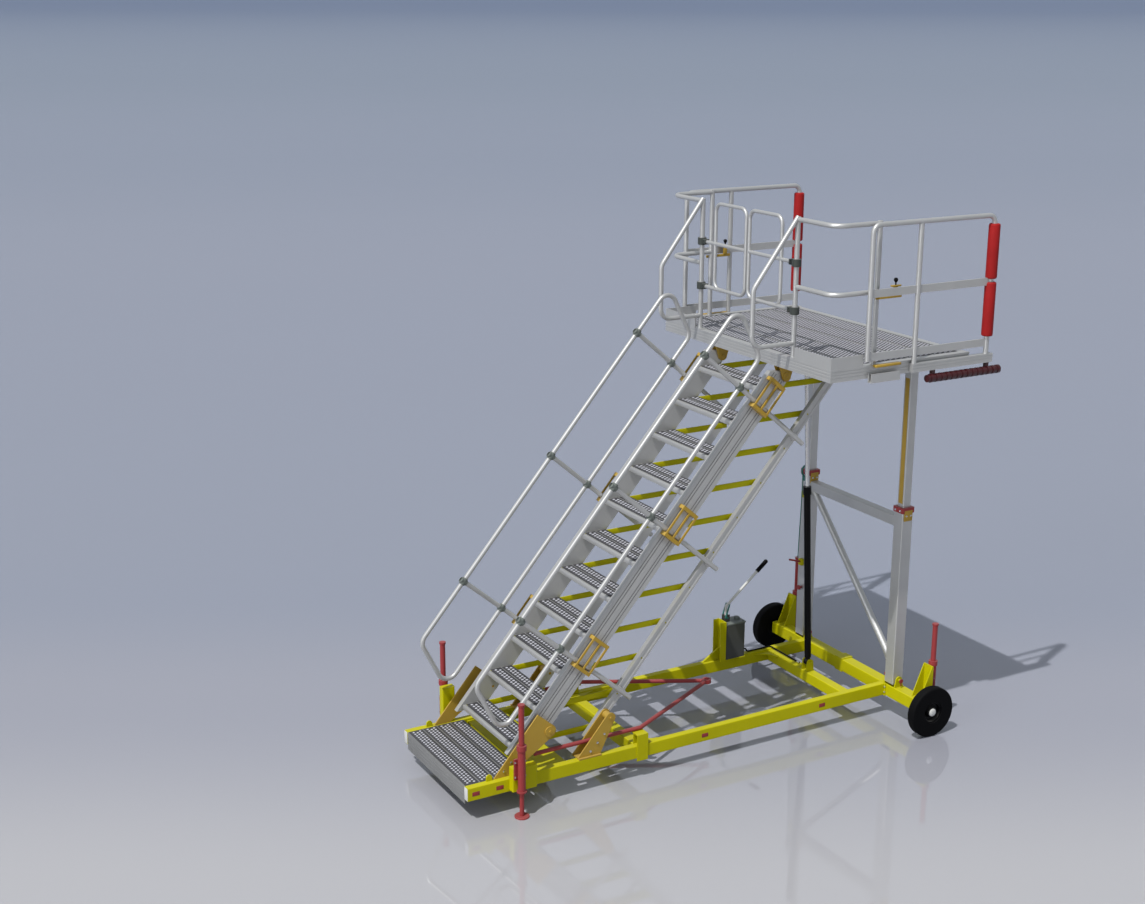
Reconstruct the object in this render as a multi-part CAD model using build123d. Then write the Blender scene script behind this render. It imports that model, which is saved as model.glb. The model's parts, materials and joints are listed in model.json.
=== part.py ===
from build123d import *
import os
from math import sin, cos, tan, radians, hypot

# Variable-height access platform: self-levelling stairs, telescopic mast, railed deck.
# Millimetres, +Z up, +X from the stair foot to the deck, near side at -Y.
# The stair line, the widths and the wheel radius drive the rest; pin lines, rails and guards follow them.

# Fits and stock
CLEAR = 6.0
RUN_FIT = 0.05
SKIN = 0.3
PIN_R = 12.0
PLATE_T = 10.0
LUG_T = 12.0
EDGE_R = 8.0
# Stair line: parallelogram of stringers and link bars
STAIR_ANGLE = 49.4
STAIR_LEN = 3325.0
FOOT_X = -1500.0
LINK_GAP = 530.0
STRINGER_IN = 420.0
STRINGER_T = 45.0
STRINGER_OUT = STRINGER_IN + STRINGER_T
NOSE_OFF = 150.0
STRINGER_UNDER = 40.0
STRINGER_LOW = 330.0
STRINGER_PAST = 35.0
STRINGER_CUT = 160.0
RIB_W = 20.0
RIB_DEEP = 4.0
LINK_H = 70.0
LINK_T = 40.0
LINK_LOW = 240.0
LINK_HIGH = 40.0
LINK_IN = STRINGER_OUT - LINK_T
LINK_X = FOOT_X + LINK_GAP
# Wheels
WHEEL_R = 217.0
WHEEL_W = 80.0
WHEEL_GAP = 20.0
SHOULDER = 16.0
HUB_R = 95.0
HUB_RIM = 14.0
HUB_SHORT = 12.0
HUB_WEB = 18.0
BOSS_R = 44.0
STUB_R = 20.0
STUB_PLAY = 2.0
CAP_R = 34.0
CAP_T = 14.0
# Base frame
RAIL_W = 60.0
RAIL_H = 110.0
RAIL_TOP = WHEEL_R + 65.0
RAIL_BOT = RAIL_TOP - RAIL_H
RAIL_IN = STRINGER_OUT + 60.0
RAIL_OUT = RAIL_IN + RAIL_W
FRONT_X = FOOT_X - 720.0
FOOT_Z = RAIL_TOP + 286.0
ANG = radians(STAIR_ANGLE)
UX, UZ = cos(ANG), sin(ANG)
NX, NZ = sin(ANG), -cos(ANG)
TOP_X = FOOT_X + STAIR_LEN * UX
TOP_Z = FOOT_Z + STAIR_LEN * UZ
DECK_X0 = TOP_X - 94.0
DECK_LEN = 1370.0
DECK_X1 = DECK_X0 + DECK_LEN
BEAM_SET = 120.0
BEAM_X = DECK_X1 - BEAM_SET
BEAM_W = 110.0
BEAM_HALF = 1045.0
WHEEL_IN = BEAM_HALF + WHEEL_GAP
RAIL_END = BEAM_X - BEAM_W / 2
RAIL_FLANGE = 18.0
SLEEVE_LEN = 100.0
CYL_BEAM_X = BEAM_X - 440.0
CYL_BEAM_DROP = 12.0
GUSSET = 150.0
GUSSET_LIP = 14.0
MID_BEAM_X = FOOT_X + 800.0
CROSS_W = 90.0
FRONT_PLATE_X = FOOT_X - 12.0
FRONT_PLATE_HALF = 177.0
FRONT_PLATE_T = 20.0
FRONT_PLATE_DROP = 20.0
LANDING_LEN = 500.0
LANDING_T = 34.0
FASCIA_T = 8.0
FASCIA_H = 150.0
SEAM_W = 5.0
SEAM_DEEP = 3.0
TIE_LUG_X = FRONT_X + 200.0
TIE_LUG_R = 25.0
# Feet of stringers and link bars
FOOT_STRIP = 178.0
FOOT_BASE = 137.0
FOOT_HEAD = 55.0
DISC_R = 42.0
LINK_HEAD = 42.0
LINK_BASE = 200.0
# Jacks: leg, foot, tube and the thinner head tube
JACK_TRAVEL = 170.0
FOOT_R = 58.0
FOOT_T = 12.0
FOOT_SPARE = 13.0
LEG_R = 18.0
LEG_LEN = 640.0
BRACKET_BOT = FOOT_T + JACK_TRAVEL + FOOT_SPARE
JACK_FRONT_X = FOOT_X - 320.0
JACK_FRONT_Y = RAIL_OUT + 105.0
JACK_REAR_X = BEAM_X + 140.0
JACK_REAR_Y = BEAM_HALF - 95.0
JACK_R = 30.0
JACK_HEAD_R = 22.0
JACK_CAP_R = 27.0
JACK_CAP_T = 14.0
JACK_BOT = BRACKET_BOT + 10.0
JACK_MID = RAIL_TOP + 298.0
JACK_TOP = RAIL_TOP + 640.0
FLANGE_T = 12.0
FLANGE_R = 40.0
COLLAR_R = 38.0
COLLAR_LOW = 30.0
COLLAR_HIGH = 10.0
CLAMP_W = 96.0
CLAMP_LAP = 6.0
CLAMP_Z = RAIL_TOP + 18.0
CLAMP_H = 170.0
UPRIGHT_W = 110.0
UPRIGHT_TOP = RAIL_TOP + 278.0
# Treads
TREADS = 11
TREAD_FIRST = -256.0
TREAD_LAST = STAIR_LEN - 213.0
TREAD_PITCH = (TREAD_LAST - TREAD_FIRST) / (TREADS - 1)
TREAD_DEPTH = 225.0
TREAD_T = 40.0
TREAD_HALF = STRINGER_IN - 8.0
NOSING = 28.0
NOSING_R = 10.0
ARM_T = 10.0
ARM_OUT = TREAD_HALF - 14.0
ARM_H = 48.0
ARM_UP = 18.0
ARM_END = 32.0
ARM_START = 20.0
TREAD_PIN_R = 8.0
PIN_SHY = 2.0
# Handrails, fixed to the link bars
RAIL_R = 19.0
HAND_Y = STRINGER_OUT + CLEAR + RAIL_R
HAND_TOP = 766.0
HAND_MID = 325.0
HAND_LOW_S = -30.0
HAND_HIGH_S = STAIR_LEN + 145.0
HAND_SLANT = 185.0
HAND_BEND = 90.0
POST_LOW_S = 560.0
POST_HIGH_S = STAIR_LEN - 320.0
POST_S = (POST_LOW_S, (POST_LOW_S + POST_HIGH_S) / 2, POST_HIGH_S)
POST_PAST = 100.0
POST_PAD = 26.0
GUIDE_LEN = 230.0
GUIDE_T = 10.0
GUIDE_BAR = 16.0
GUIDE_END = 30.0
GUIDE_FOOT = 52.0
GUIDE_INSET = 10.0
# Deck
DECK_HALF = 1146.0
DECK_TOP = TOP_Z + 192.0
DECK_H = 100.0
DECK_BOT = DECK_TOP - DECK_H
EDGE_W = 60.0
GRATE_T = 30.0
BEARER_W = 90.0
FASCIA_RIBS = 3
FASCIA_RIB_H = 10.0
LUG_R = 42.0
LUG_FLARE = 30.0
SADDLE_T = 8.0
# Guards
GUARD_H = 1090.0
GUARD_MID = 555.0
TUBE_R = 20.0
GATE_POST_X = DECK_X0 + 22.0
GATE_POST_Y = HAND_Y + 155.0
POST_FOOT = 40.0
POST_FOOT_T = 8.0
CORNER_Y = DECK_HALF - 36.0
CORNER_R = 110.0
SIDE_END_X = DECK_X0 + 430.0
DGUARD_REACH = 395.0
DGUARD_Z1 = 565.0
DGUARD_Z0 = 115.0
DGUARD_BEND = 90.0
TOE_H = 90.0
TOE_T = 8.0
TOE_LEN = 305.0
# Gates
GATE_TUBE_R = 15.0
GATE_ARM_R = 17.0
GATE_TOP = 1085.0
GATE_BOT = 370.0
GATE_MID = 740.0
GATE_FREE = 22.0
GATE_INSET = 195.0
GATE_BEND = 70.0
HINGE_R = 30.0
HINGE_H = 56.0
# Sliding side guards; the near one stands drawn out
EXT_Y = DECK_HALF + 26.0
EXT_FRONT_X = DECK_X0 + 210.0
EXT_POST_X = DECK_X0 + 670.0
EXT_END_X = DECK_X1 + 35.0
EXT_OUT_NEAR = 110.0
EXT_BEND = 60.0
EXT_FLAT_H = 60.0
EXT_FLAT_T = 14.0
EXT_TOE_Z = 40.0
SILL_BOT = 92.0
SILL_TOP = 22.0
SILL_W = 44.0
SILL_PAST = 60.0
CARRIAGE_LEN = 280.0
CARRIAGE_W = 40.0
CARRIAGE_WALL = 8.0
CARRIAGE_LOW = 32.0
CARRIAGE_H = 70.0
FOAM_R = 45.0
FOAM_LEN = 430.0
FOAM_GAP = 26.0
FOAM_LOW = 120.0
FOAM_ROUND = 12.0
BUMPER_R = 34.0
BUMPER_CORE_R = 29.0
BUMPER_PAST = 135.1757
BUMPER_END = EXT_END_X + EXT_OUT_NEAR + BUMPER_PAST
BUMPER_LEN = 740.0
BUMPER_Z = DECK_BOT - 57.0
BUMPER_RINGS = 14
HANGER_W = 30.0
# Mast
MAST_X = BEAM_X - 5.0
MAST_Y = RAIL_OUT + 49.0
MAST_W = 110.0
MAST_WALL = 6.0
MAST_PIN_Z = RAIL_TOP + 63.0
MAST_BOT = RAIL_TOP + 26.0
MAST_TOP = RAIL_TOP + 1560.0
MAST_LUG_R = 32.0
MAST_LUG_HALF = 48.0
INNER_W = 80.0
INNER_BOT = MAST_TOP - 452.0
HEAD_Z = DECK_BOT - 77.0
HEAD_OVER = 40.0
HEAD_SLOT = 26.0
HEAD_LUG_R = 30.0
SLOT_PLAY = 6.0
BRACE_W = 80.0
BRACE_H = 90.0
BRACE_DROP = 140.0
BRACE_R = 30.0
BRACE_FOOT = 160.0
BRACE_GUSSET = 150.0
COLLAR_H = 46.0
COLLAR_LIP = 8.0
# Cylinder
CYL_FOOT_Z = MAST_PIN_Z
CYL_HEAD_X = CYL_BEAM_X - 154.0
CYL_HEAD_Z = DECK_BOT - 85.0
CYL_LUG_R = 32.0
CYL_LUG_HALF = 40.0
BARREL_R = 29.0
BARREL_LEN = 1625.0
BARREL_START = 46.0
BARREL_FLOOR = 120.0
GLAND_R = 35.0
GLAND_LEN = 70.0
ROD_R = 18.0
ROD_IN = 250.0
EYE_R = 32.0
EYE_T = 40.0
PIN_PAST = 6.0
# Hand pump
PUMP_X = BEAM_X - 880.0
PUMP_Y = RAIL_IN + 30.0
PUMP_L = 210.0
PUMP_W = 150.0
PUMP_H = 330.0
PUMP_ROUND = 18.0
CHANNEL_DEEP = 60.0
CHANNEL_OVER = 40.0
CHANNEL_SPARE = 50.0
WEDGE_LEN = 190.0
WEDGE_H = 120.0
FILLER_R = 22.0
FILLER_H = 18.0
CLEVIS_T = 8.0
CLEVIS_H = 70.0
CLEVIS_L = 60.0
LEVER_R = 12.0
LEVER_BACK = 60.0
LEVER_RISE = 150.0
LEVER_RUN = 420.0
LEVER_LIFT = 350.0
GRIP_R = 17.0
GRIP_LEN = 130.0
HOSE_R = 7.0
HOSE_DROP = 30.0
HOSE_OUT = 70.0
HOSE_END = 120.0
HOSE_BEND = 22.0
# Tow bar and the straps that carry it
TOW_Z = RAIL_TOP + 110.0
TOW_Y = RAIL_IN - 20.0
TOW_R = 17.0
TOW_BACK_X = FOOT_X - 118.0
TOW_BEND_X = MID_BEAM_X + 40.0
TOW_REACH = 969.8243
TOW_TIP_X = TOW_BEND_X + TOW_REACH
TOW_BEND = 30.0
TOW_EYE_R = 20.0
TOW_EYE_OUT = 38.0
STRAP_X = TOW_BEND_X - 80.0
STRAP_W = 100.0
STRAP_T = 8.0
STRAP_LOW = 20.0

NEAR, FAR = -1, 1
SIDES = (NEAR, FAR)

os.makedirs("parts", exist_ok=True)


def box(x0, x1, y0, y1, z0, z1):
    mid = Pos((x0 + x1) / 2, (y0 + y1) / 2, (z0 + z1) / 2)
    return mid * Box(abs(x1 - x0), abs(y1 - y0), abs(z1 - z0))


def section(start, axis, length, width, height, r):
    across = (0, 1, 0) if axis[0] else (1, 0, 0)
    profile = Plane(origin=start, x_dir=across, z_dir=axis) * RectangleRounded(width, height, r)
    return extrude(profile, amount=length)


def section_x(x0, x1, y, z, width, height, r=EDGE_R):
    return section((x0, y, z), (1, 0, 0), x1 - x0, width, height, r)


def section_y(y0, y1, x, z, width, height, r=EDGE_R):
    return section((x, y0, z), (0, 1, 0), y1 - y0, width, height, r)


def section_z(z0, z1, x, y, width, height, r=EDGE_R):
    return section((x, y, z0), (0, 0, 1), z1 - z0, width, height, r)


def rod(p, q, r):
    line = Line(p, q)
    return extrude(Plane(origin=line @ 0, z_dir=line % 0) * Circle(r), amount=line.length)


def tube(points, r, bend, close=False):
    path = FilletPolyline(*points, radius=bend, close=close)
    return sweep(Plane(origin=path @ 0, z_dir=path % 0) * Circle(r), path=path)


def plate_xz(points, y0, y1):
    face = make_face(Polyline(*[(x, min(y0, y1), z) for x, z in points], close=True))
    return extrude(face, amount=abs(y1 - y0), dir=(0, 1, 0))


def plate_yz(points, x0, x1):
    face = make_face(Polyline(*[(x0, y, z) for y, z in points], close=True))
    return extrude(face, amount=x1 - x0, dir=(1, 0, 0))


def pin_y(x, z, y0, y1, r):
    return rod((x, min(y0, y1), z), (x, max(y0, y1), z), r)


def lug_y(x, z, r, base_z, half, y0, y1):
    flare = plate_xz([(x - half, base_z), (x - r, z), (x + r, z), (x + half, base_z)], y0, y1)
    return flare + pin_y(x, z, y0, y1, r)


def gusset_xy(x, y, sx, sy, size, z0, z1):
    far_x, far_y = x + sx * size, y + sy * size
    return box(x, far_x, y, far_y, z0, z1) - rod((far_x, far_y, z0), (far_x, far_y, z1), size - GUSSET_LIP)


def stair_point(s, d):
    return (FOOT_X + s * UX + d * NX, FOOT_Z + s * UZ + d * NZ)


def link_point(s, d):
    return (LINK_X + s * UX + d * NX, FOOT_Z + s * UZ + d * NZ)


def slope_s(z, d):
    return (z - FOOT_Z - d * NZ) / UZ


def save(name, shape):
    export_step(shape, os.path.join("parts", name + ".step"))


def group(solids):
    return Compound(children=list(solids))


# Base frame: side rails with end flanges, tow-bar straps and small tie-down lugs
def make_side_rail(side):
    rail_y = side * (RAIL_IN + RAIL_OUT) / 2
    rail = section_x(FRONT_X, RAIL_END, rail_y, (RAIL_BOT + RAIL_TOP) / 2, RAIL_W, RAIL_H)
    rail += box(RAIL_END - PLATE_T, RAIL_END, side * (RAIL_IN - RAIL_FLANGE), side * (RAIL_OUT + RAIL_FLANGE),
                RAIL_BOT, RAIL_TOP)
    shelf_top = TOW_Z - TOW_R
    strap_in = TOW_Y - TOW_R - STRAP_T
    strap_end = STRAP_X + STRAP_W
    rail += box(STRAP_X, strap_end, side * RAIL_OUT, side * (RAIL_OUT + STRAP_T),
                RAIL_BOT - STRAP_LOW, shelf_top)
    rail += box(STRAP_X, strap_end, side * strap_in, side * RAIL_OUT, shelf_top - STRAP_T, shelf_top)
    rail += box(STRAP_X, strap_end, side * RAIL_IN, side * (RAIL_IN + STRAP_T),
                RAIL_TOP - RAIL_H / 2, shelf_top)
    lug_in = RAIL_IN + PLATE_T
    lug = lug_y(TIE_LUG_X, RAIL_TOP + TIE_LUG_R, TIE_LUG_R, RAIL_TOP, TIE_LUG_R, side * lug_in,
                side * (lug_in + LUG_T))
    return rail + lug


save("side_rails", group(make_side_rail(s) for s in SIDES))

# Axle beam with wheel stubs, a joining sleeve and the mast's foot lugs and pins
AXLE_Z = WHEEL_R
STUB_END = WHEEL_IN + WHEEL_W - 2 * HUB_SHORT
beam_z = (RAIL_BOT + RAIL_TOP) / 2
axle_beam = section_y(-BEAM_HALF, BEAM_HALF, BEAM_X, beam_z, BEAM_W, RAIL_H)
axle_beam += box(RAIL_END, RAIL_END + BEAM_W + STRAP_T, 0, SLEEVE_LEN, RAIL_BOT - STRAP_T, RAIL_TOP + STRAP_T)
mast_cheek = MAST_W / 2 + CLEAR
for s in SIDES:
    axle_beam += pin_y(BEAM_X, AXLE_Z, s * (BEAM_HALF - PLATE_T), s * STUB_END, STUB_R)
    for y in (MAST_Y - mast_cheek - LUG_T, MAST_Y + mast_cheek):
        axle_beam += lug_y(MAST_X, MAST_PIN_Z, MAST_LUG_R, RAIL_TOP - EDGE_R, MAST_LUG_HALF,
                           s * y, s * (y + LUG_T))
    pin_past = mast_cheek + 2 * LUG_T
    axle_beam += pin_y(MAST_X, MAST_PIN_Z, s * (MAST_Y - pin_past), s * (MAST_Y + pin_past), PIN_R)
save("axle_beam", axle_beam)

# Cylinder beam between the rails: foot lugs, pin and a curved gusset at the far rail
cyl_beam_top = RAIL_TOP - CYL_BEAM_DROP
lug_base = cyl_beam_top - EDGE_R
cylinder_beam = section_y(-RAIL_IN, RAIL_IN, CYL_BEAM_X, (RAIL_BOT + cyl_beam_top) / 2,
                          CROSS_W, cyl_beam_top - RAIL_BOT)
for s in SIDES:
    y = s * (EYE_T / 2 + CLEAR)
    cylinder_beam += lug_y(CYL_BEAM_X, CYL_FOOT_Z, CYL_LUG_R, lug_base, CYL_LUG_HALF, y, y + s * LUG_T)
pin_half = EYE_T / 2 + CLEAR + 2 * LUG_T
cylinder_beam += pin_y(CYL_BEAM_X, CYL_FOOT_Z, -pin_half, pin_half, PIN_R)
gusset_x = CYL_BEAM_X - CROSS_W / 2
cylinder_beam += gusset_xy(gusset_x, RAIL_IN, -1, -1, GUSSET, lug_base - PLATE_T, lug_base)
save("cylinder_beam", cylinder_beam)

# Cross members between the rails: mid beam with corner gussets, and the front plate
mid_beam = section_y(-RAIL_IN, RAIL_IN, MID_BEAM_X, beam_z, CROSS_W, RAIL_H)
gusset_top = RAIL_TOP - EDGE_R
for s in SIDES:
    mid_beam += gusset_xy(MID_BEAM_X + CROSS_W / 2, s * RAIL_IN, 1, -s, GUSSET,
                          gusset_top - PLATE_T, gusset_top)
plate_top = RAIL_TOP - FRONT_PLATE_DROP
front_plate = box(FRONT_PLATE_X - FRONT_PLATE_HALF, FRONT_PLATE_X + FRONT_PLATE_HALF, -RAIL_IN, RAIL_IN,
                  plate_top - FRONT_PLATE_T, plate_top)
save("cross_members", group([mid_beam, front_plate]))

# Landing planks with seams across, and the ribbed fascia at the front
LANDING_PLANKS = 4
landing = box(FRONT_X, FRONT_X + LANDING_LEN, -RAIL_IN, RAIL_IN, RAIL_TOP - LANDING_T, RAIL_TOP)
landing += box(FRONT_X, FRONT_X + FASCIA_T, -RAIL_IN, RAIL_IN, RAIL_TOP - FASCIA_H, RAIL_TOP)
for i in range(1, LANDING_PLANKS):
    seam_x = FRONT_X + LANDING_LEN * i / LANDING_PLANKS
    landing -= box(seam_x, seam_x + SEAM_W, -RAIL_IN, RAIL_IN, RAIL_TOP - SEAM_DEEP, RAIL_TOP)
    rib_z = RAIL_TOP - FASCIA_H * i / LANDING_PLANKS
    landing -= box(FRONT_X, FRONT_X + SEAM_DEEP, -RAIL_IN, RAIL_IN, rib_z, rib_z + SEAM_W)
save("landing", landing)


# Stringer feet: inclined strips standing on the rails, rounded about the hinge pin
def make_stringer_foot(side):
    y0 = RAIL_IN + PLATE_T / 2
    y1 = y0 + LUG_T
    low = slope_s(RAIL_TOP, -FOOT_STRIP)
    base_x, base_z = stair_point(low, -FOOT_STRIP)
    strip = [(base_x, base_z), stair_point(FOOT_HEAD, -FOOT_STRIP), stair_point(FOOT_HEAD, 0)]
    strip += [stair_point(0, FOOT_HEAD), (base_x + FOOT_BASE, RAIL_TOP)]
    foot = plate_xz(strip, side * y0, side * y1)
    foot += pin_y(FOOT_X, FOOT_Z, side * y0, side * y1, FOOT_HEAD)
    foot += pin_y(FOOT_X, FOOT_Z, side * (STRINGER_IN + PIN_SHY), side * (y1 + 2 * PLATE_T), PIN_R)
    foot += pin_y(FOOT_X, FOOT_Z, side * (STRINGER_OUT + CLEAR), side * (y1 + PLATE_T), DISC_R)
    return foot


save("stringer_feet", group(make_stringer_foot(s) for s in SIDES))


# Link feet: two inclined strips a side on a base plate, the tow bar passing between them
def make_link_foot(side):
    inner = STRINGER_OUT + CLEAR
    outer = RAIL_OUT - LUG_T - 2 * PLATE_T
    base_top = RAIL_TOP + PLATE_T
    base_x, base_z = link_point(slope_s(base_top, -LINK_HEAD), -LINK_HEAD)
    strip = [(base_x, base_top), link_point(0, -LINK_HEAD), link_point(0, LINK_HEAD)]
    strip += [(base_x + LINK_BASE, base_top)]
    foot = box(base_x, base_x + LINK_BASE, side * inner, side * RAIL_OUT, RAIL_TOP, base_top)
    for y in (inner, outer):
        foot += plate_xz(strip, side * y, side * (y + LUG_T))
        foot += pin_y(LINK_X, FOOT_Z, side * y, side * (y + LUG_T), LINK_HEAD)
    foot += pin_y(LINK_X, FOOT_Z, side * (LINK_IN - PIN_SHY), side * (outer + LUG_T + PLATE_T), PIN_R)
    foot += pin_y(LINK_X, FOOT_Z, side * inner, side * outer, LINK_HEAD - PLATE_T)
    return foot


save("link_feet", group(make_link_foot(s) for s in SIDES))

# Jacks: bracket, tube and sliding leg at each corner
# Columns: corner, x, y, bracket from and to along x or y, bracket top
JACKS = (
    ("front_near", JACK_FRONT_X, -JACK_FRONT_Y, -UPRIGHT_W / 2, UPRIGHT_W * 1.4, CLAMP_Z + CLAMP_H / 2),
    ("front_far", JACK_FRONT_X, JACK_FRONT_Y, -UPRIGHT_W / 2, UPRIGHT_W / 2, UPRIGHT_TOP),
    ("rear_near", JACK_REAR_X, -JACK_REAR_Y, -UPRIGHT_W / 2, UPRIGHT_W / 2, UPRIGHT_TOP),
    ("rear_far", JACK_REAR_X, JACK_REAR_Y, -UPRIGHT_W / 2, UPRIGHT_W / 2, UPRIGHT_TOP),
)


def make_front_bracket(x, y, start, end, top):
    side = NEAR if y < 0 else FAR
    deep = abs(y) - JACK_R - PLATE_T - RAIL_OUT
    mid_y = side * (RAIL_OUT + deep / 2)
    return section_z(BRACKET_BOT, top, x + (start + end) / 2, mid_y, end - start, deep)


def make_rear_bracket(x, y, start, end, top):
    rear = RAIL_END + BEAM_W
    face = x - JACK_R - PLATE_T
    bracket = box(face - LUG_T, face, y + start, y + end, BRACKET_BOT, top)
    cheek = [(rear, BRACKET_BOT), (rear, RAIL_TOP), (rear - BEAM_W + UPRIGHT_W / 4, RAIL_TOP)]
    cheek += [(face - LUG_T, top), (face - LUG_T, BRACKET_BOT)]
    for dy in (start, end - PLATE_T):
        bracket += plate_xz(cheek, y + dy, y + dy + PLATE_T)
    return bracket


def make_jack_tube(x, y, front):
    side = NEAR if y < 0 else FAR
    jack = rod((x, y, JACK_BOT), (x, y, JACK_MID), JACK_R)
    jack += rod((x, y, JACK_BOT), (x, y, JACK_BOT + FLANGE_T), FLANGE_R)
    jack += rod((x, y, JACK_MID - COLLAR_LOW), (x, y, JACK_MID + COLLAR_HIGH), COLLAR_R)
    jack += rod((x, y, JACK_MID), (x, y, JACK_TOP), JACK_HEAD_R)
    jack += rod((x, y, JACK_TOP - JACK_CAP_T), (x, y, JACK_TOP), JACK_CAP_R)
    back, lap = JACK_R + PLATE_T, JACK_R - CLAMP_LAP
    half = CLAMP_W / 2
    if front:
        clamp = box(x - half, x + half, y - side * back, y - side * lap, CLAMP_Z, CLAMP_Z + CLAMP_H)
    else:
        clamp = box(x - back, x - lap, y - half, y + half, CLAMP_Z, CLAMP_Z + CLAMP_H)
    bore = rod((x, y, JACK_BOT), (x, y, JACK_TOP - 2 * JACK_CAP_T), LEG_R + RUN_FIT)
    return jack + clamp - bore


def make_jack_leg(x, y):
    foot = rod((x, y, 0), (x, y, FOOT_T), FOOT_R)
    foot = fillet(foot.edges().group_by(Axis.Z)[-1], FOOT_T / 2)
    return foot + rod((x, y, FOOT_T), (x, y, FOOT_T + LEG_LEN), LEG_R)


brackets, tubes = [], []
for corner, x, y, start, end, top in JACKS:
    front = x < 0
    brackets.append((make_front_bracket if front else make_rear_bracket)(x, y, start, end, top))
    tubes.append(make_jack_tube(x, y, front))
    save("jack_leg_" + corner, make_jack_leg(x, y))
save("jack_brackets", group(brackets))
save("jack_tubes", group(tubes))

# Tow bar lying on its straps
tow_pts = [(TOW_BACK_X, -TOW_Y, TOW_Z), (TOW_BEND_X, -TOW_Y, TOW_Z), (TOW_TIP_X, 0, TOW_Z)]
tow_pts += [(TOW_BEND_X, TOW_Y, TOW_Z), (TOW_BACK_X, TOW_Y, TOW_Z)]
tow_bar = tube(tow_pts, TOW_R, TOW_BEND)
tow_bar += rod((TOW_TIP_X, 0, TOW_Z - TOW_R), (TOW_TIP_X, 0, TOW_Z + TOW_R), TOW_EYE_OUT)
tow_bar -= rod((TOW_TIP_X, 0, TOW_Z - 2 * TOW_R), (TOW_TIP_X, 0, TOW_Z + 2 * TOW_R), TOW_EYE_R)
save("tow_bar", tow_bar)

# Hand pump on the far rail: channel bracket with a wedge, tank with filler and clevis, lever, hose
channel_x = PUMP_X - PUMP_L / 2
channel_in, channel_out = RAIL_IN - CHANNEL_SPARE, RAIL_OUT + PLATE_T
channel_top = RAIL_TOP + PUMP_H + CHANNEL_OVER
bracket = box(channel_x - PLATE_T, channel_x, channel_in, channel_out, RAIL_TOP, channel_top)
for y in (channel_in, channel_out - PLATE_T):
    bracket += box(channel_x - CHANNEL_DEEP, channel_x, y, y + PLATE_T, RAIL_TOP, channel_top)
bracket += box(channel_x, channel_x + PUMP_L, channel_in, channel_out, RAIL_TOP, RAIL_TOP + PLATE_T)
wedge_y = PUMP_Y - PLATE_T
wedge_x = channel_x - PLATE_T
bracket += plate_xz([(wedge_x - WEDGE_LEN, RAIL_TOP), (wedge_x, RAIL_TOP + WEDGE_H), (wedge_x, RAIL_TOP)],
                    wedge_y, wedge_y + 2 * PLATE_T)
save("pump_bracket", bracket)
TANK_Z = RAIL_TOP + PLATE_T
TANK_TOP = TANK_Z + PUMP_H
tank_l = PUMP_L - SKIN
tank = section_z(TANK_Z, TANK_TOP, PUMP_X + SKIN / 2, PUMP_Y, tank_l, PUMP_W, PUMP_ROUND)
filler_x = PUMP_X + LEVER_BACK
tank += rod((filler_x, PUMP_Y, TANK_TOP), (filler_x, PUMP_Y, TANK_TOP + FILLER_H), FILLER_R)
LEVER_X = PUMP_X - LEVER_BACK
for s in SIDES:
    cheek_y = PUMP_Y + s * (LEVER_R + SKIN)
    tank += box(LEVER_X - CLEVIS_L / 2, LEVER_X + CLEVIS_L / 2, cheek_y, cheek_y + s * CLEVIS_T,
                TANK_TOP, TANK_TOP + CLEVIS_H)
save("pump_tank", tank)
elbow = (LEVER_X, PUMP_Y, TANK_TOP + LEVER_RISE)
tip = (LEVER_X + LEVER_RUN, PUMP_Y, TANK_TOP + LEVER_RISE + LEVER_LIFT)
grip_at = 1 - GRIP_LEN / hypot(LEVER_RUN, LEVER_LIFT)
grip = (LEVER_X + LEVER_RUN * grip_at, PUMP_Y, TANK_TOP + LEVER_RISE + LEVER_LIFT * grip_at)
lever = tube([(LEVER_X, PUMP_Y, TANK_TOP), elbow, tip], LEVER_R, 2 * LEVER_R)
lever += rod(grip, tip, GRIP_R)
save("pump_lever", lever)
port_x = PUMP_X + PUMP_L / 2
hose_z = RAIL_TOP + HOSE_R
hose_pts = [(port_x, PUMP_Y, TANK_Z + HOSE_DROP), (port_x + HOSE_OUT, PUMP_Y, TANK_Z + HOSE_DROP)]
hose_pts += [(port_x + HOSE_OUT, PUMP_Y, hose_z), (CYL_BEAM_X, PUMP_Y, hose_z)]
hose_pts += [(CYL_BEAM_X, HOSE_END, hose_z)]
save("hose", tube(hose_pts, HOSE_R, HOSE_BEND))

# Wheels: solid tyre with round shoulders on a dished hub
for s, name in ((NEAR, "near"), (FAR, "far")):
    y0, y1 = s * WHEEL_IN, s * (WHEEL_IN + WHEEL_W)
    face_y = y1 - s * HUB_SHORT
    tyre = pin_y(BEAM_X, AXLE_Z, y0, y1, WHEEL_R)
    tyre = fillet(tyre.edges().filter_by(GeomType.CIRCLE), SHOULDER)
    tyre -= pin_y(BEAM_X, AXLE_Z, y0, y1, HUB_R)
    hub = pin_y(BEAM_X, AXLE_Z, y0 + s * HUB_SHORT, face_y, HUB_R)
    dish = pin_y(BEAM_X, AXLE_Z, y0 + s * (HUB_SHORT + HUB_WEB), face_y, HUB_R - HUB_RIM)
    hub -= dish - pin_y(BEAM_X, AXLE_Z, y0, y1, BOSS_R)
    hub -= pin_y(BEAM_X, AXLE_Z, y0, s * (STUB_END + STUB_PLAY), STUB_R + RUN_FIT)
    hub += pin_y(BEAM_X, AXLE_Z, s * (STUB_END + STUB_PLAY), face_y + s * CAP_T, CAP_R)
    save("tyre_" + name, tyre)
    save("hub_" + name, hub)

# Treads hang on the stringers and reach back to the link bars with their arms
TREAD_S = [TREAD_FIRST + TREAD_PITCH * i for i in range(TREADS)]


def tread_pin(s):
    nose_x, nose_z = stair_point(s, -NOSE_OFF)
    z = nose_z - TREAD_T / 2
    return (FOOT_X + (z - FOOT_Z) / tan(ANG), z)


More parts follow.
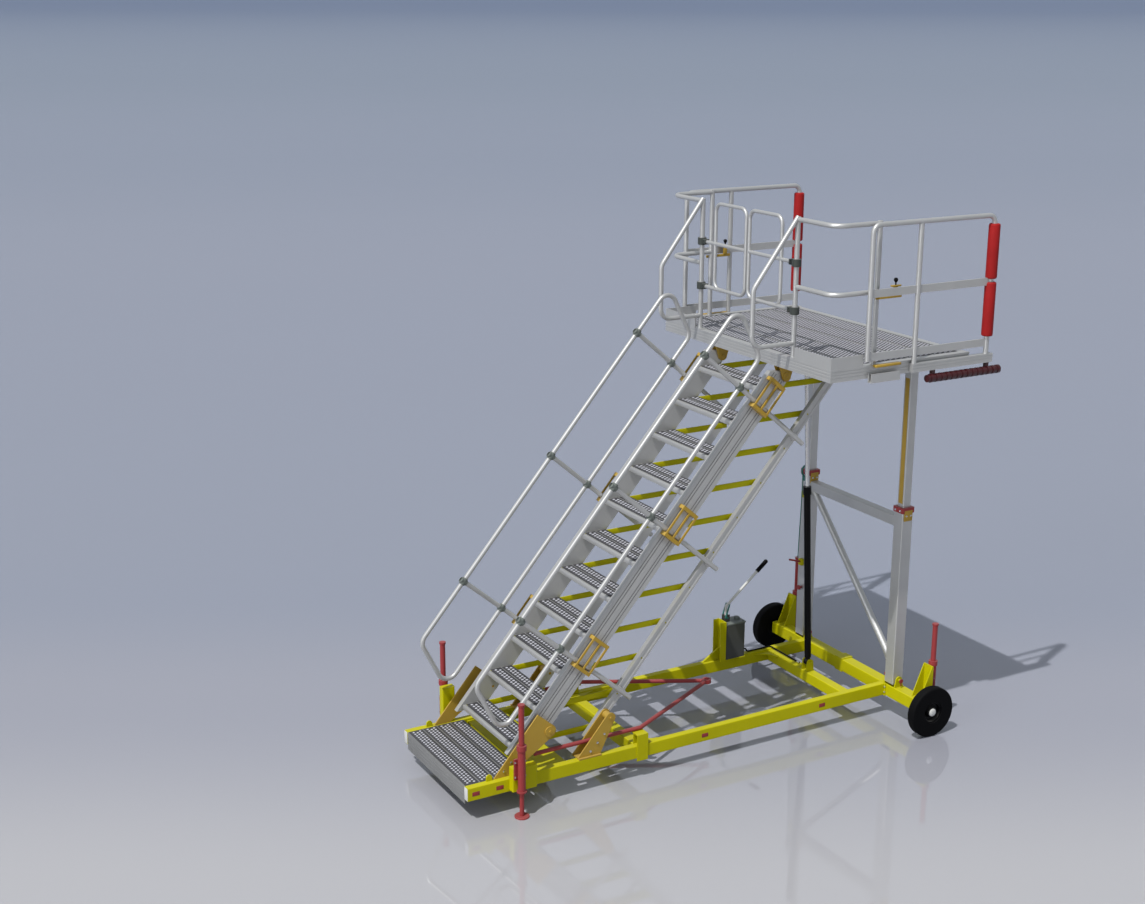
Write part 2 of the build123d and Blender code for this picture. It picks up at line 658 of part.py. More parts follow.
def make_tread(s):
    nose_x, nose_z = stair_point(s, -NOSE_OFF)
    px, pz = tread_pin(s)
    arm_z = pz + ARM_UP
    plank = box(nose_x, nose_x + TREAD_DEPTH, -TREAD_HALF, TREAD_HALF, nose_z - TREAD_T, nose_z)
    plank = fillet(plank.edges().filter_by(Axis.Y).group_by(Axis.X)[0], NOSING_R)
    for seam_x in (nose_x + NOSING, nose_x + (NOSING + TREAD_DEPTH) / 2):
        plank -= box(seam_x, seam_x + SEAM_W, -TREAD_HALF, TREAD_HALF, nose_z - SEAM_DEEP, nose_z)
    for side in SIDES:
        arm_in = side * (ARM_OUT - ARM_T)
        pin_end = side * (STRINGER_OUT - RIB_DEEP - PIN_SHY)
        plank += box(nose_x + ARM_START, px + LINK_GAP + ARM_END, arm_in, side * ARM_OUT,
                     arm_z - ARM_H, arm_z)
        for x in (px, px + LINK_GAP):
            plank += pin_y(x, pz, arm_in, pin_end, TREAD_PIN_R)
    return plank


for i, s in enumerate(TREAD_S):
    save("tread_%02d" % (i + 1), make_tread(s))


def bored(body, side, places):
    for x, z, r in places:
        body -= pin_y(x, z, side * ARM_OUT, side * (STRINGER_OUT + CLEAR), r + RUN_FIT)
    return body


def slope_bar(point, s0, s1, d0, d1, y0, y1):
    return plate_xz([point(s0, d0), point(s1, d0), point(s1, d1), point(s0, d1)], y0, y1)


# Stringers: ribbed section with bores for their hinge pins and for the tread pins
def make_stringer(side):
    outline = [stair_point(-STRINGER_LOW, -NOSE_OFF), stair_point(STAIR_LEN - FOOT_HEAD, -NOSE_OFF)]
    head = STAIR_LEN + STRINGER_PAST
    outline += [stair_point(head, -RIB_W), stair_point(head, STRINGER_UNDER)]
    outline += [stair_point(STRINGER_CUT - STRINGER_LOW, STRINGER_UNDER)]
    body = plate_xz(outline, side * STRINGER_IN, side * STRINGER_OUT)
    middle = (STRINGER_UNDER - NOSE_OFF) / 2
    for d0, d1 in ((-NOSE_OFF + RIB_W, middle - RIB_W / 2), (middle + RIB_W / 2, STRINGER_UNDER - RIB_W)):
        body -= slope_bar(stair_point, -STAIR_LEN, 2 * STAIR_LEN, d0, d1,
                          side * (STRINGER_OUT - RIB_DEEP), side * STRINGER_OUT)
    places = [(FOOT_X, FOOT_Z, PIN_R), (TOP_X, TOP_Z, PIN_R)]
    places += [(*tread_pin(s), TREAD_PIN_R) for s in TREAD_S]
    return bored(body, side, places)


save("stringers", group(make_stringer(s) for s in SIDES))


# Slotted guides on the outer faces of the stringers, one for each handrail post
def make_guide(side, post_s):
    y0 = side * (HAND_Y + RAIL_R + CLEAR)
    y1 = y0 + side * GUIDE_T
    s0, s1 = post_s - GUIDE_FOOT, post_s + GUIDE_LEN
    d0, d1 = -NOSE_OFF + GUIDE_INSET, STRINGER_UNDER - GUIDE_INSET
    guide = None
    for sa in (s0, s1 - GUIDE_END):
        foot = slope_bar(stair_point, sa, sa + GUIDE_END, d0, d1, side * STRINGER_OUT, y1)
        guide = foot if guide is None else guide + foot
    for d in (d0, (d0 + d1 - GUIDE_BAR) / 2, d1 - GUIDE_BAR):
        guide += slope_bar(stair_point, s0, s1, d, d + GUIDE_BAR, y0, y1)
    return guide


save("post_guides", group(make_guide(side, s) for side in SIDES for s in POST_S))


# Link bars: grooved, with the handrail frames outside them
def make_link_bar(side):
    bar = slope_bar(link_point, -LINK_LOW, STAIR_LEN + LINK_HIGH, -LINK_H / 2, LINK_H / 2,
                    side * LINK_IN, side * STRINGER_OUT)
    bar -= slope_bar(link_point, -STAIR_LEN, 2 * STAIR_LEN, -LINK_H / 2 + RIB_W, LINK_H / 2 - RIB_W,
                     side * (STRINGER_OUT - RIB_DEEP), side * STRINGER_OUT)
    places = [(LINK_X, FOOT_Z, PIN_R), (TOP_X + LINK_GAP, TOP_Z, PIN_R)]
    places += [(tread_pin(s)[0] + LINK_GAP, tread_pin(s)[1], TREAD_PIN_R) for s in TREAD_S]
    return bored(bar, side, places)


save("link_bars", group(make_link_bar(s) for s in SIDES))


def make_handrail(side):
    y = side * HAND_Y
    ring = [(HAND_LOW_S, -HAND_TOP), (HAND_HIGH_S, -HAND_TOP)]
    ring += [(HAND_HIGH_S - HAND_SLANT, -HAND_MID), (HAND_LOW_S - HAND_SLANT, -HAND_MID)]
    pts = []
    for s, d in ring:
        x, z = stair_point(s, d)
        pts.append((x, y, z))
    rail = tube(pts, RAIL_R, HAND_BEND, close=True)
    link_d = LINK_GAP * sin(ANG)
    for s in POST_S:
        x0, z0 = stair_point(s, -HAND_TOP)
        x1, z1 = stair_point(s, link_d + POST_PAST)
        rail += rod((x0, y, z0), (x1, y, z1), RAIL_R)
        rail += slope_bar(stair_point, s - POST_PAD, s + POST_PAD, link_d - POST_PAD, link_d + POST_PAD,
                          side * STRINGER_OUT, y)
    return rail


save("handrails", group(make_handrail(s) for s in SIDES))

# Deck frame with ribbed fascia, bearers over the pins and slide carriages on its sides; grating; lugs
HEAD_X = MAST_X
x_in, x_out, y_in = DECK_X0 + EDGE_W, DECK_X1 - EDGE_W, DECK_HALF - EDGE_W
frame = box(DECK_X0, DECK_X1, -DECK_HALF, DECK_HALF, DECK_BOT, DECK_TOP)
frame -= box(x_in, x_out, -y_in, y_in, DECK_BOT, DECK_TOP)
for i in range(FASCIA_RIBS):
    groove_z = DECK_BOT + DECK_H * (i + 1) / (FASCIA_RIBS + 1)
    ring = box(DECK_X0, DECK_X1, -DECK_HALF, DECK_HALF, groove_z, groove_z + FASCIA_RIB_H)
    ring -= box(DECK_X0 + SEAM_DEEP, DECK_X1 - SEAM_DEEP, SEAM_DEEP - DECK_HALF, DECK_HALF - SEAM_DEEP,
                groove_z, groove_z + FASCIA_RIB_H)
    frame -= ring
for x in (CYL_HEAD_X, HEAD_X):
    frame += box(x - BEARER_W / 2, x + BEARER_W / 2, -y_in, y_in, DECK_BOT, DECK_TOP - GRATE_T)
carriage_x = EXT_FRONT_X + EXT_OUT_NEAR + POST_FOOT
carriage_z = DECK_BOT - CARRIAGE_LOW
for s in SIDES:
    frame += box(x_in, x_out, s * (LINK_IN - POST_FOOT), s * (STRINGER_OUT + EDGE_W),
                 DECK_BOT, DECK_TOP - GRATE_T)
    carriage_end = carriage_x + CARRIAGE_LEN
    carriage = box(carriage_x, carriage_end, s * (DECK_HALF - SEAM_DEEP), s * (DECK_HALF + CARRIAGE_W),
                   carriage_z, carriage_z + CARRIAGE_H)
    carriage -= box(carriage_x, carriage_end, s * (DECK_HALF + CARRIAGE_WALL),
                    s * (DECK_HALF + CARRIAGE_W - CARRIAGE_WALL), carriage_z + CARRIAGE_WALL,
                    carriage_z + CARRIAGE_H)
    frame += carriage
save("deck_frame", frame)
save("deck_grating", box(x_in, x_out, -y_in, y_in, DECK_TOP - GRATE_T, DECK_TOP))


def make_stair_lugs(side):
    outer = STRINGER_OUT + CLEAR
    half = LUG_R + LUG_FLARE
    lugs = []
    for x, inside in ((TOP_X, STRINGER_IN), (TOP_X + LINK_GAP, LINK_IN)):
        inner = inside - CLEAR - LUG_T
        lug = box(x - half, x + half, side * inner, side * (outer + LUG_T), DECK_BOT - SADDLE_T, DECK_BOT)
        for y in (inner, outer):
            lug += lug_y(x, TOP_Z, LUG_R, DECK_BOT, half, side * y, side * (y + LUG_T))
        lug += pin_y(x, TOP_Z, side * (inner - CLEAR), side * (outer + LUG_T + PLATE_T), PIN_R)
        lug += pin_y(x, TOP_Z, side * (outer + LUG_T), side * (outer + LUG_T + CLEAR), LUG_R - CLEAR)
        lugs.append(lug)
    return lugs


save("stair_lugs", group(lug for s in SIDES for lug in make_stair_lugs(s)))


# Head lugs: the mast and rod pins ride in slots along X
def make_slot_lug(x, z, y):
    reach = HEAD_SLOT + HEAD_LUG_R
    low = z - HEAD_LUG_R
    outline = [(x - reach, DECK_BOT), (x - reach, z), (x - HEAD_SLOT, low), (x + HEAD_SLOT, low)]
    outline += [(x + reach, z), (x + reach, DECK_BOT)]
    lug = plate_xz(outline, y, y + LUG_T)
    slot = PIN_R + SLOT_PLAY
    return lug - box(x - HEAD_SLOT - PIN_R, x + HEAD_SLOT + PIN_R, y, y + LUG_T, z - slot, z + slot)


head_lugs = []
for s in SIDES:
    for y in (s * MAST_Y - INNER_W / 2 - CLEAR - LUG_T, s * MAST_Y + INNER_W / 2 + CLEAR):
        head_lugs.append(make_slot_lug(HEAD_X, HEAD_Z, y))
for y in (-EYE_T / 2 - CLEAR - LUG_T, EYE_T / 2 + CLEAR):
    head_lugs.append(make_slot_lug(CYL_HEAD_X, CYL_HEAD_Z, y))
save("head_lugs", group(head_lugs))


# Gate posts with their forward guards
def make_gate_post(side):
    x, y, top = GATE_POST_X, side * GATE_POST_Y, DECK_TOP + GUARD_H
    reach = x - DGUARD_REACH
    post = rod((x, y, DECK_TOP), (x, y, top), TUBE_R)
    high, low = DECK_TOP + DGUARD_Z1, DECK_TOP + DGUARD_Z0
    post += tube([(x, y, top), (reach, y, high), (reach, y, low), (x, y, low)], RAIL_R, DGUARD_BEND)
    return post + box(DECK_X0, x_in - SKIN, y - POST_FOOT, y + POST_FOOT, DECK_TOP, DECK_TOP + POST_FOOT_T)


save("gate_posts", group(make_gate_post(s) for s in SIDES))


# Fixed corner guards: two rails round each front corner, ending on a post
def make_corner_guard(side):
    y = side * CORNER_Y
    guard = rod((SIDE_END_X, y, DECK_TOP), (SIDE_END_X, y, DECK_TOP + GUARD_H), TUBE_R)
    start = side * (GATE_POST_Y + TUBE_R + SKIN)
    for z in (DECK_TOP + GUARD_H - TUBE_R, DECK_TOP + GUARD_MID):
        guard += tube([(GATE_POST_X, start, z), (GATE_POST_X, y, z), (SIDE_END_X, y, z)], RAIL_R, CORNER_R)
    return guard


save("corner_guards", group(make_corner_guard(s) for s in SIDES))


def make_toe_board(side):
    start = side * (GATE_POST_Y + POST_FOOT + SEAM_W)
    edge, top = side * DECK_HALF, DECK_TOP + TOE_H
    board = box(DECK_X0, DECK_X0 + TOE_T, start, edge, DECK_TOP, top)
    return board + box(DECK_X0, DECK_X0 + TOE_LEN, edge - side * TOE_T, edge, DECK_TOP, top)


save("toe_boards", group(make_toe_board(s) for s in SIDES))


# Gates: bent leaf on two hinge rings round the gate post
def make_gate(side):
    x, hinge_y = GATE_POST_X, side * GATE_POST_Y
    y0, y1 = side * (GATE_POST_Y - GATE_INSET), side * GATE_FREE
    low, mid, high = DECK_TOP + GATE_BOT, DECK_TOP + GATE_MID, DECK_TOP + GATE_TOP - GATE_TUBE_R
    ring = [(x, y0, low), (x, y1, low), (x, y1, high), (x, y0, high)]
    leaf = tube(ring, GATE_TUBE_R, GATE_BEND, close=True)
    for z, inner_end, r in ((low, y0 - side * 2 * GATE_BEND, GATE_ARM_R), (mid, y1, GATE_TUBE_R)):
        leaf += rod((x, hinge_y, z), (x, inner_end, z), r)
        leaf += rod((x, hinge_y, z - HINGE_H / 2), (x, hinge_y, z + HINGE_H / 2), HINGE_R)
        leaf -= rod((x, hinge_y, z - HINGE_H), (x, hinge_y, z + HINGE_H), TUBE_R + RUN_FIT)
    return leaf


save("gate_near", make_gate(NEAR))
save("gate_far", make_gate(FAR))


# Sliding side guards with a ribbed sill, and foam sleeves on the end posts
def make_side_guard(side, out):
    y = side * EXT_Y
    top, low = DECK_TOP + GUARD_H - TUBE_R, DECK_TOP + EXT_TOE_Z
    x0, x1, x2 = EXT_FRONT_X + out, EXT_POST_X + out, EXT_END_X + out
    sill_low, sill_high = DECK_TOP - SILL_BOT, DECK_TOP - SILL_TOP
    guard = tube([(x0, y, low), (x0, y, top), (x2, y, top), (x2, y, sill_high)], TUBE_R, EXT_BEND)
    guard += rod((x1, y, sill_high), (x1, y, top), TUBE_R)
    for z in (low, DECK_TOP + GUARD_MID - EXT_FLAT_H / 2):
        guard += box(x0, x2, y - EXT_FLAT_T / 2, y + EXT_FLAT_T / 2, z, z + EXT_FLAT_H)
    sill_in = side * (DECK_HALF + SKIN)
    sill_out = sill_in + side * SILL_W
    sill = box(x1 - TUBE_R, x2 + SILL_PAST, sill_in, sill_out, sill_low, sill_high)
    for i in (1, 2):
        rib_z = sill_low + (sill_high - sill_low) * i / 3
        sill -= box(x1 - TUBE_R, x2 + SILL_PAST, sill_out - side * SEAM_DEEP, sill_out,
                    rib_z, rib_z + 2 * SEAM_W)
    return guard + sill


def make_foams(side, out):
    x, y = EXT_END_X + out, side * EXT_Y
    flat_mid = DECK_TOP + GUARD_MID
    flat_room = box(x - 2 * FOAM_R, x, y - EXT_FLAT_T / 2 - SKIN, y + EXT_FLAT_T / 2 + SKIN,
                    flat_mid - EXT_FLAT_H / 2 - SKIN, flat_mid + EXT_FLAT_H / 2 + SKIN)
    sleeves = []
    for i in range(2):
        z = DECK_TOP + FOAM_LOW + i * (FOAM_LEN + FOAM_GAP)
        sleeve = rod((x, y, z), (x, y, z + FOAM_LEN), FOAM_R)
        sleeve = fillet(sleeve.edges().filter_by(GeomType.CIRCLE), FOAM_ROUND)
        sleeve -= rod((x, y, z), (x, y, z + FOAM_LEN), TUBE_R + SKIN)
        sleeves.append(sleeve - flat_room)
    return sleeves


for s, name, out in ((NEAR, "near", EXT_OUT_NEAR), (FAR, "far", 0.0)):
    save("side_guard_" + name, make_side_guard(s, out))
    save("foam_" + name, group(make_foams(s, out)))

# Ringed bumper on two hangers under the near sill
bumper_y = -(EXT_Y + FOAM_R - BUMPER_R)
bumper_x = BUMPER_END - BUMPER_LEN
ring_pitch = BUMPER_LEN / BUMPER_RINGS
bumper = rod((bumper_x, bumper_y, BUMPER_Z), (BUMPER_END, bumper_y, BUMPER_Z), BUMPER_CORE_R)
for i in range(BUMPER_RINGS):
    ring_x = bumper_x + ring_pitch * i + ring_pitch / 2
    bumper += rod((ring_x, bumper_y, BUMPER_Z), (ring_x + ring_pitch / 2, bumper_y, BUMPER_Z), BUMPER_R)
for x in (bumper_x + ring_pitch, EXT_END_X + EXT_OUT_NEAR):
    bumper += box(x, x + HANGER_W, bumper_y, bumper_y + HANGER_W, BUMPER_Z, DECK_TOP - SILL_BOT)
save("bumper", bumper)


# Mast: outer posts, their brace, collars, and the inner posts
def make_outer_post(side):
    y = side * MAST_Y
    post = section_z(MAST_BOT, MAST_TOP, MAST_X, y, MAST_W, MAST_W)
    hollow = MAST_W - 2 * MAST_WALL
    post -= section_z(MAST_BOT, MAST_TOP, MAST_X, y, hollow, hollow, EDGE_R - MAST_WALL / 2)
    return post - pin_y(MAST_X, MAST_PIN_Z, y - MAST_W, y + MAST_W, PIN_R + RUN_FIT)


save("mast_posts", group(make_outer_post(s) for s in SIDES))

brace_y = MAST_Y - MAST_W / 2
beam_low = MAST_TOP - BRACE_DROP
brace_foot = MAST_BOT + BRACE_FOOT
brace = section_y(-brace_y, brace_y, MAST_X, beam_low + BRACE_H / 2, BRACE_W, BRACE_H)
past_y = brace_y + BRACE_R
diagonal = rod((MAST_X, past_y, beam_low + BRACE_H / 2), (MAST_X, -past_y, brace_foot), BRACE_R)
for s in SIDES:
    diagonal -= box(MAST_X - BRACE_W, MAST_X + BRACE_W, s * brace_y, s * (brace_y + BRACE_W),
                    MAST_BOT, MAST_TOP)
brace += diagonal
gusset_low, gusset_high = brace_foot - BRACE_GUSSET / 2, brace_foot + BRACE_GUSSET
brace += plate_yz([(-brace_y, gusset_low), (-brace_y, gusset_high), (-brace_y + BRACE_GUSSET, gusset_high)],
                  MAST_X - PLATE_T / 2, MAST_X + PLATE_T / 2)
save("mast_brace", brace)

collars = []
for s in SIDES:
    y = s * MAST_Y
    outside = MAST_W + 2 * COLLAR_LIP
    collar = section_z(MAST_TOP, MAST_TOP + COLLAR_H, MAST_X, y, outside, outside)
    inside = INNER_W + 2 * SKIN
    collar -= section_z(MAST_TOP, MAST_TOP + COLLAR_H, MAST_X, y, inside, inside, EDGE_R + SKIN)
    collars.append(collar)
save("mast_collars", group(collars))


def make_inner_post(side):
    y = side * MAST_Y
    post = section_z(INNER_BOT, HEAD_Z + HEAD_OVER, MAST_X, y, INNER_W, INNER_W)
    reach = INNER_W / 2 + CLEAR + LUG_T + PIN_PAST
    return post + pin_y(HEAD_X, HEAD_Z, y - reach, y + reach, PIN_R)


save("mast_inner", group(make_inner_post(s) for s in SIDES))

# Lift cylinder between the cross beam and the deck
CYL_DX = CYL_HEAD_X - CYL_BEAM_X
CYL_DZ = CYL_HEAD_Z - CYL_FOOT_Z
CYL_L = hypot(CYL_DX, CYL_DZ)


def cyl_point(t):
    return (CYL_BEAM_X + CYL_DX * t / CYL_L, 0, CYL_FOOT_Z + CYL_DZ * t / CYL_L)


barrel = rod(cyl_point(BARREL_START), cyl_point(BARREL_LEN), BARREL_R)
barrel += rod(cyl_point(BARREL_LEN - GLAND_LEN), cyl_point(BARREL_LEN), GLAND_R)
barrel += rod(cyl_point(PIN_R), cyl_point(BARREL_START), EYE_T / 2)
barrel += pin_y(CYL_BEAM_X, CYL_FOOT_Z, -EYE_T / 2, EYE_T / 2, EYE_R)
barrel -= rod(cyl_point(BARREL_FLOOR), cyl_point(BARREL_LEN), ROD_R + RUN_FIT)
barrel -= pin_y(CYL_BEAM_X, CYL_FOOT_Z, -EYE_T, EYE_T, PIN_R + RUN_FIT)
save("cylinder_barrel", barrel)

piston = rod(cyl_point(BARREL_LEN - ROD_IN), cyl_point(CYL_L - PIN_R), ROD_R)
piston += pin_y(CYL_HEAD_X, CYL_HEAD_Z, -EYE_T / 2, EYE_T / 2, EYE_R)
reach = EYE_T / 2 + CLEAR + LUG_T + PIN_PAST
piston += pin_y(CYL_HEAD_X, CYL_HEAD_Z, -reach, reach, PIN_R)
save("cylinder_rod", piston)
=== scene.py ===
"""Looks of a variable-height access platform: finishes, gratings, fittings and the studio around it."""
import json
import math

import bmesh
import bpy
from mathutils import Matrix, Vector


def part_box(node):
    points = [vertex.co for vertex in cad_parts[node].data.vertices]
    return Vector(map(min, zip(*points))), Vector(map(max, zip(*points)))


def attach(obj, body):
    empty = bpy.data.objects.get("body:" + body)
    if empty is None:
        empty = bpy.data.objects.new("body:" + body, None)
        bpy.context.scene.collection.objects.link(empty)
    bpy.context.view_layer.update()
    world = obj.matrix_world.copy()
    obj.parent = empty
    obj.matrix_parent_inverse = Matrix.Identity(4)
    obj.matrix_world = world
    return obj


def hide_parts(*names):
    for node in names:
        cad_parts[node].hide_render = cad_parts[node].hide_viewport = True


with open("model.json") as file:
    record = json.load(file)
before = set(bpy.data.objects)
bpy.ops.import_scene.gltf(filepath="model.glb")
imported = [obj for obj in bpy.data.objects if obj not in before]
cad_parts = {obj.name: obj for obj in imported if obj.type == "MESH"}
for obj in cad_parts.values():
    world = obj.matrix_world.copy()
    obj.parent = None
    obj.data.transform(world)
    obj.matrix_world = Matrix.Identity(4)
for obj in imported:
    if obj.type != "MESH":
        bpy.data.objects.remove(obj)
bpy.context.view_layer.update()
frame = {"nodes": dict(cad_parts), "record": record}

bl_info = {
    "name": "Access Platform Looks",
    "version": (1, 0, 0),
    "blender": (4, 5, 0),
    "location": "3D View > Sidebar > Platform",
    "description": "Dresses the access platform with finishes, gratings, fittings and a studio",
    "category": "Object",
}

NEAR, FAR = -1, 1
SIDES = (NEAR, FAR)
SIDE_NAMES = {NEAR: "near", FAR: "far"}
TREAD_NODES = sorted(n for n in frame["nodes"] if n.startswith("tread_"))
NODE_SLOT = {p["node"]: p["material_slot"] for p in frame["record"]["subparts"]}
NODE_FINISH = {"bumper": "bumper", "pump_lever": "white_paint"}


# Settings that a user would change
def colour(name, about, default):
    return bpy.props.FloatVectorProperty(
        name=name, description=about, default=default, size=3, min=0.0, max=1.0, subtype="COLOR")


def length(name, about, default):
    return bpy.props.FloatProperty(
        name=name, description=about, default=default, min=0.0, subtype="DISTANCE", unit="LENGTH")


def share(name, about, default):
    return bpy.props.FloatProperty(
        name=name, description=about, default=default, min=0.0, max=1.0, subtype="FACTOR")


def angle(name, about, degrees):
    return bpy.props.FloatProperty(
        name=name, description=about, default=math.radians(degrees), subtype="ANGLE")


class PlatformFinishes(bpy.types.PropertyGroup):
    """Colours of the paints, metals and soft parts"""
    yellow: colour("Base yellow", "Safety paint on the base frame and tread arms", (0.50, 0.465, 0.002))
    orange: colour("Hinge orange", "Paint on feet, guides and hinge lugs", (0.455, 0.290, 0.040))
    red: colour("Jack red", "Paint on the jacks, tow bar and collars", (0.31, 0.040, 0.042))
    aluminium: colour("Aluminium", "Mill finish of stringers, rails and masts", (0.56, 0.56, 0.55))
    grating: colour("Grating", "Anti-slip planks of treads, landing and deck", (0.070, 0.070, 0.076))
    tank: colour("Tank grey", "Paint on the pump reservoir", (0.070, 0.073, 0.073))
    foam: colour("Foam red", "Skin of the bumper sleeves", (0.34, 0.012, 0.012))
    rubber: colour("Black rubber", "Tyres, hose and grips", (0.0025, 0.0025, 0.003))
    bumper: colour("Bumper red", "Skin of the ringed bumper", (0.050, 0.006, 0.008))
    fitting: colour("Cast fitting", "Paint on the cross fittings and clamps", (0.150, 0.170, 0.155))
    teal: colour("Linkage teal", "Paint on the small linkages", (0.030, 0.160, 0.130))
    black: colour("Cylinder black", "Paint on the cylinder and the hubs", (0.004, 0.004, 0.005))
    white: colour("Trim white", "Paint on end caps and the pump lever", (0.62, 0.62, 0.60))
    wear: share("Wear", "How much the edges are rubbed", 0.35)


class PlatformStudio(bpy.types.PropertyGroup):
    """Floor, light and camera"""
    floor_half: length("Floor", "Half the width of the floor", 3000.0)
    floor_gloss: share("Floor gloss", "How strongly the floor mirrors close to the camera", 1.0)
    camera_place: bpy.props.FloatVectorProperty(
        name="Camera place", description="Where the camera stands", default=(-6.94, -10.537, 6.002),
        size=3, subtype="TRANSLATION", unit="LENGTH")
    camera_yaw: angle("Camera yaw", "Heading from +Y towards +X", 29.41)
    camera_pitch: angle("Camera pitch", "Angle below the horizon", 15.78)
    camera_roll: angle("Camera roll", "Turn about the view line", 0.14)
    lens: bpy.props.FloatProperty(
        name="Lens", description="Focal length in millimetres on a 36 mm sensor", default=51.14, min=1.0)


def finishes():
    return bpy.context.scene.platform_finishes


def studio():
    return bpy.context.scene.platform_studio


# Shader node groups
def new_group(name, inputs, outputs):
    tree = bpy.data.node_groups.new(name, "ShaderNodeTree")
    for label, kind, value in inputs:
        socket = tree.interface.new_socket(name=label, in_out="INPUT", socket_type=kind)
        socket.default_value = value
    for label, kind in outputs:
        tree.interface.new_socket(name=label, in_out="OUTPUT", socket_type=kind)
    return tree, tree.nodes.new("NodeGroupInput"), tree.nodes.new("NodeGroupOutput")


def add_node(tree, kind, **settings):
    node = tree.nodes.new(kind)
    for key, value in settings.items():
        setattr(node, key, value)
    return node


def math_node(tree, operation, first, second=None, clamp=False):
    node = add_node(tree, "ShaderNodeMath", operation=operation, use_clamp=clamp)
    for socket, value in zip(node.inputs, (first, second)):
        if value is None:
            continue
        if isinstance(value, (int, float)):
            socket.default_value = value
        else:
            tree.links.new(value, socket)
    return node.outputs[0]


def noise_node(tree, place, scale, detail):
    noise = add_node(tree, "ShaderNodeTexNoise")
    noise.inputs["Detail"].default_value = detail
    tree.links.new(place, noise.inputs["Vector"])
    tree.links.new(scale, noise.inputs["Scale"])
    return noise.outputs[0]


def object_place(tree):
    return add_node(tree, "ShaderNodeTexCoord").outputs["Object"]


WEAR_CONTRAST = 24.0
WEAR_PATCHES = 2.0


def edge_wear_group():
    """Mask of rubbed edges: a rounded normal against the face's own, broken up by noise."""
    tree, given, result = new_group(
        "edge_wear",
        [("Radius", "NodeSocketFloat", 0.004), ("Amount", "NodeSocketFloat", 0.4),
         ("Scale", "NodeSocketFloat", 30.0)],
        [("Mask", "NodeSocketFloat")])
    bevel = add_node(tree, "ShaderNodeBevel", samples=4)
    tree.links.new(given.outputs["Radius"], bevel.inputs["Radius"])
    face = add_node(tree, "ShaderNodeNewGeometry")
    dot = add_node(tree, "ShaderNodeVectorMath", operation="DOT_PRODUCT")
    tree.links.new(bevel.outputs[0], dot.inputs[0])
    tree.links.new(face.outputs["Normal"], dot.inputs[1])
    turned = math_node(tree, "SUBTRACT", 1.0, dot.outputs["Value"])
    noise = noise_node(tree, object_place(tree), given.outputs["Scale"], detail=4.0)
    patchy = math_node(tree, "MULTIPLY", turned, math_node(tree, "POWER", noise, WEAR_PATCHES))
    amount = math_node(tree, "MULTIPLY", given.outputs["Amount"], WEAR_CONTRAST)
    strong = math_node(tree, "MULTIPLY", patchy, amount, clamp=True)
    tree.links.new(strong, result.inputs["Mask"])
    return tree


def grain_group():
    """Two sizes of noise: broad tone and fine tooth."""
    tree, given, result = new_group(
        "fine_grain",
        [("Broad", "NodeSocketFloat", 2.0), ("Fine", "NodeSocketFloat", 180.0)],
        [("Tone", "NodeSocketFloat"), ("Tooth", "NodeSocketFloat")])
    place = object_place(tree)
    for label, out, detail in (("Broad", "Tone", 5.0), ("Fine", "Tooth", 2.0)):
        tree.links.new(noise_node(tree, place, given.outputs[label], detail), result.inputs[out])
    return tree


def draw_lines_group():
    """Streaks left by drawing the metal, along the stair slope and upright alike."""
    tree, given, result = new_group(
        "draw_lines",
        [("Density", "NodeSocketFloat", 60.0), ("Stretch", "NodeSocketFloat", 0.04)],
        [("Streak", "NodeSocketFloat")])
    spread = add_node(tree, "ShaderNodeVectorMath", operation="MULTIPLY")
    tree.links.new(object_place(tree), spread.inputs[0])
    joined = add_node(tree, "ShaderNodeCombineXYZ")
    tree.links.new(given.outputs["Stretch"], joined.inputs[0])
    joined.inputs[1].default_value = 1.0
    tree.links.new(given.outputs["Stretch"], joined.inputs[2])
    tree.links.new(joined.outputs[0], spread.inputs[1])
    noise = noise_node(tree, spread.outputs[0], given.outputs["Density"], detail=3.0)
    tree.links.new(noise, result.inputs["Streak"])
    return tree


def dust_group():
    """Dust that settles on faces that look up."""
    tree, given, result = new_group(
        "settled_dust",
        [("Amount", "NodeSocketFloat", 0.2), ("Scale", "NodeSocketFloat", 6.0)],
        [("Mask", "NodeSocketFloat")])
    face = add_node(tree, "ShaderNodeNewGeometry")
    split = add_node(tree, "ShaderNodeSeparateXYZ")
    tree.links.new(face.outputs["Normal"], split.inputs[0])
    up = math_node(tree, "MAXIMUM", split.outputs[2], 0.0)
    noise = noise_node(tree, object_place(tree), given.outputs["Scale"], detail=6.0)
    lying = math_node(tree, "MULTIPLY", up, noise)
    settled = math_node(tree, "MULTIPLY", lying, given.outputs["Amount"], clamp=True)
    tree.links.new(settled, result.inputs["Mask"])
    return tree


GROUP_MAKERS = {
    "edge_wear": edge_wear_group,
    "fine_grain": grain_group,
    "draw_lines": draw_lines_group,
    "settled_dust": dust_group,
}


def place_group(tree, name, **values):
    if name not in bpy.data.node_groups:
        GROUP_MAKERS[name]()
    node = add_node(tree, "ShaderNodeGroup", node_tree=bpy.data.node_groups[name])
    for label, value in values.items():
        node.inputs[label].default_value = value
    return node


# Materials
def mix_colour(tree, factor, first, second):
    node = add_node(tree, "ShaderNodeMix", data_type="RGBA")
    for socket, value in ((node.inputs[0], factor), (node.inputs[6], first), (node.inputs[7], second)):
        if isinstance(value, (int, float)):
            socket.default_value = value
        elif isinstance(value, (tuple, list)) or type(value).__name__ in ("Color", "bpy_prop_array"):
            socket.default_value = (*tuple(value)[:3], 1.0)
        else:
            tree.links.new(value, socket)
    return node.outputs[2]


def value_range(tree, value, low, high):
    node = add_node(tree, "ShaderNodeMapRange")
    tree.links.new(value, node.inputs["Value"])
    node.inputs["To Min"].default_value = low
    node.inputs["To Max"].default_value = high
    return node.outputs[0]


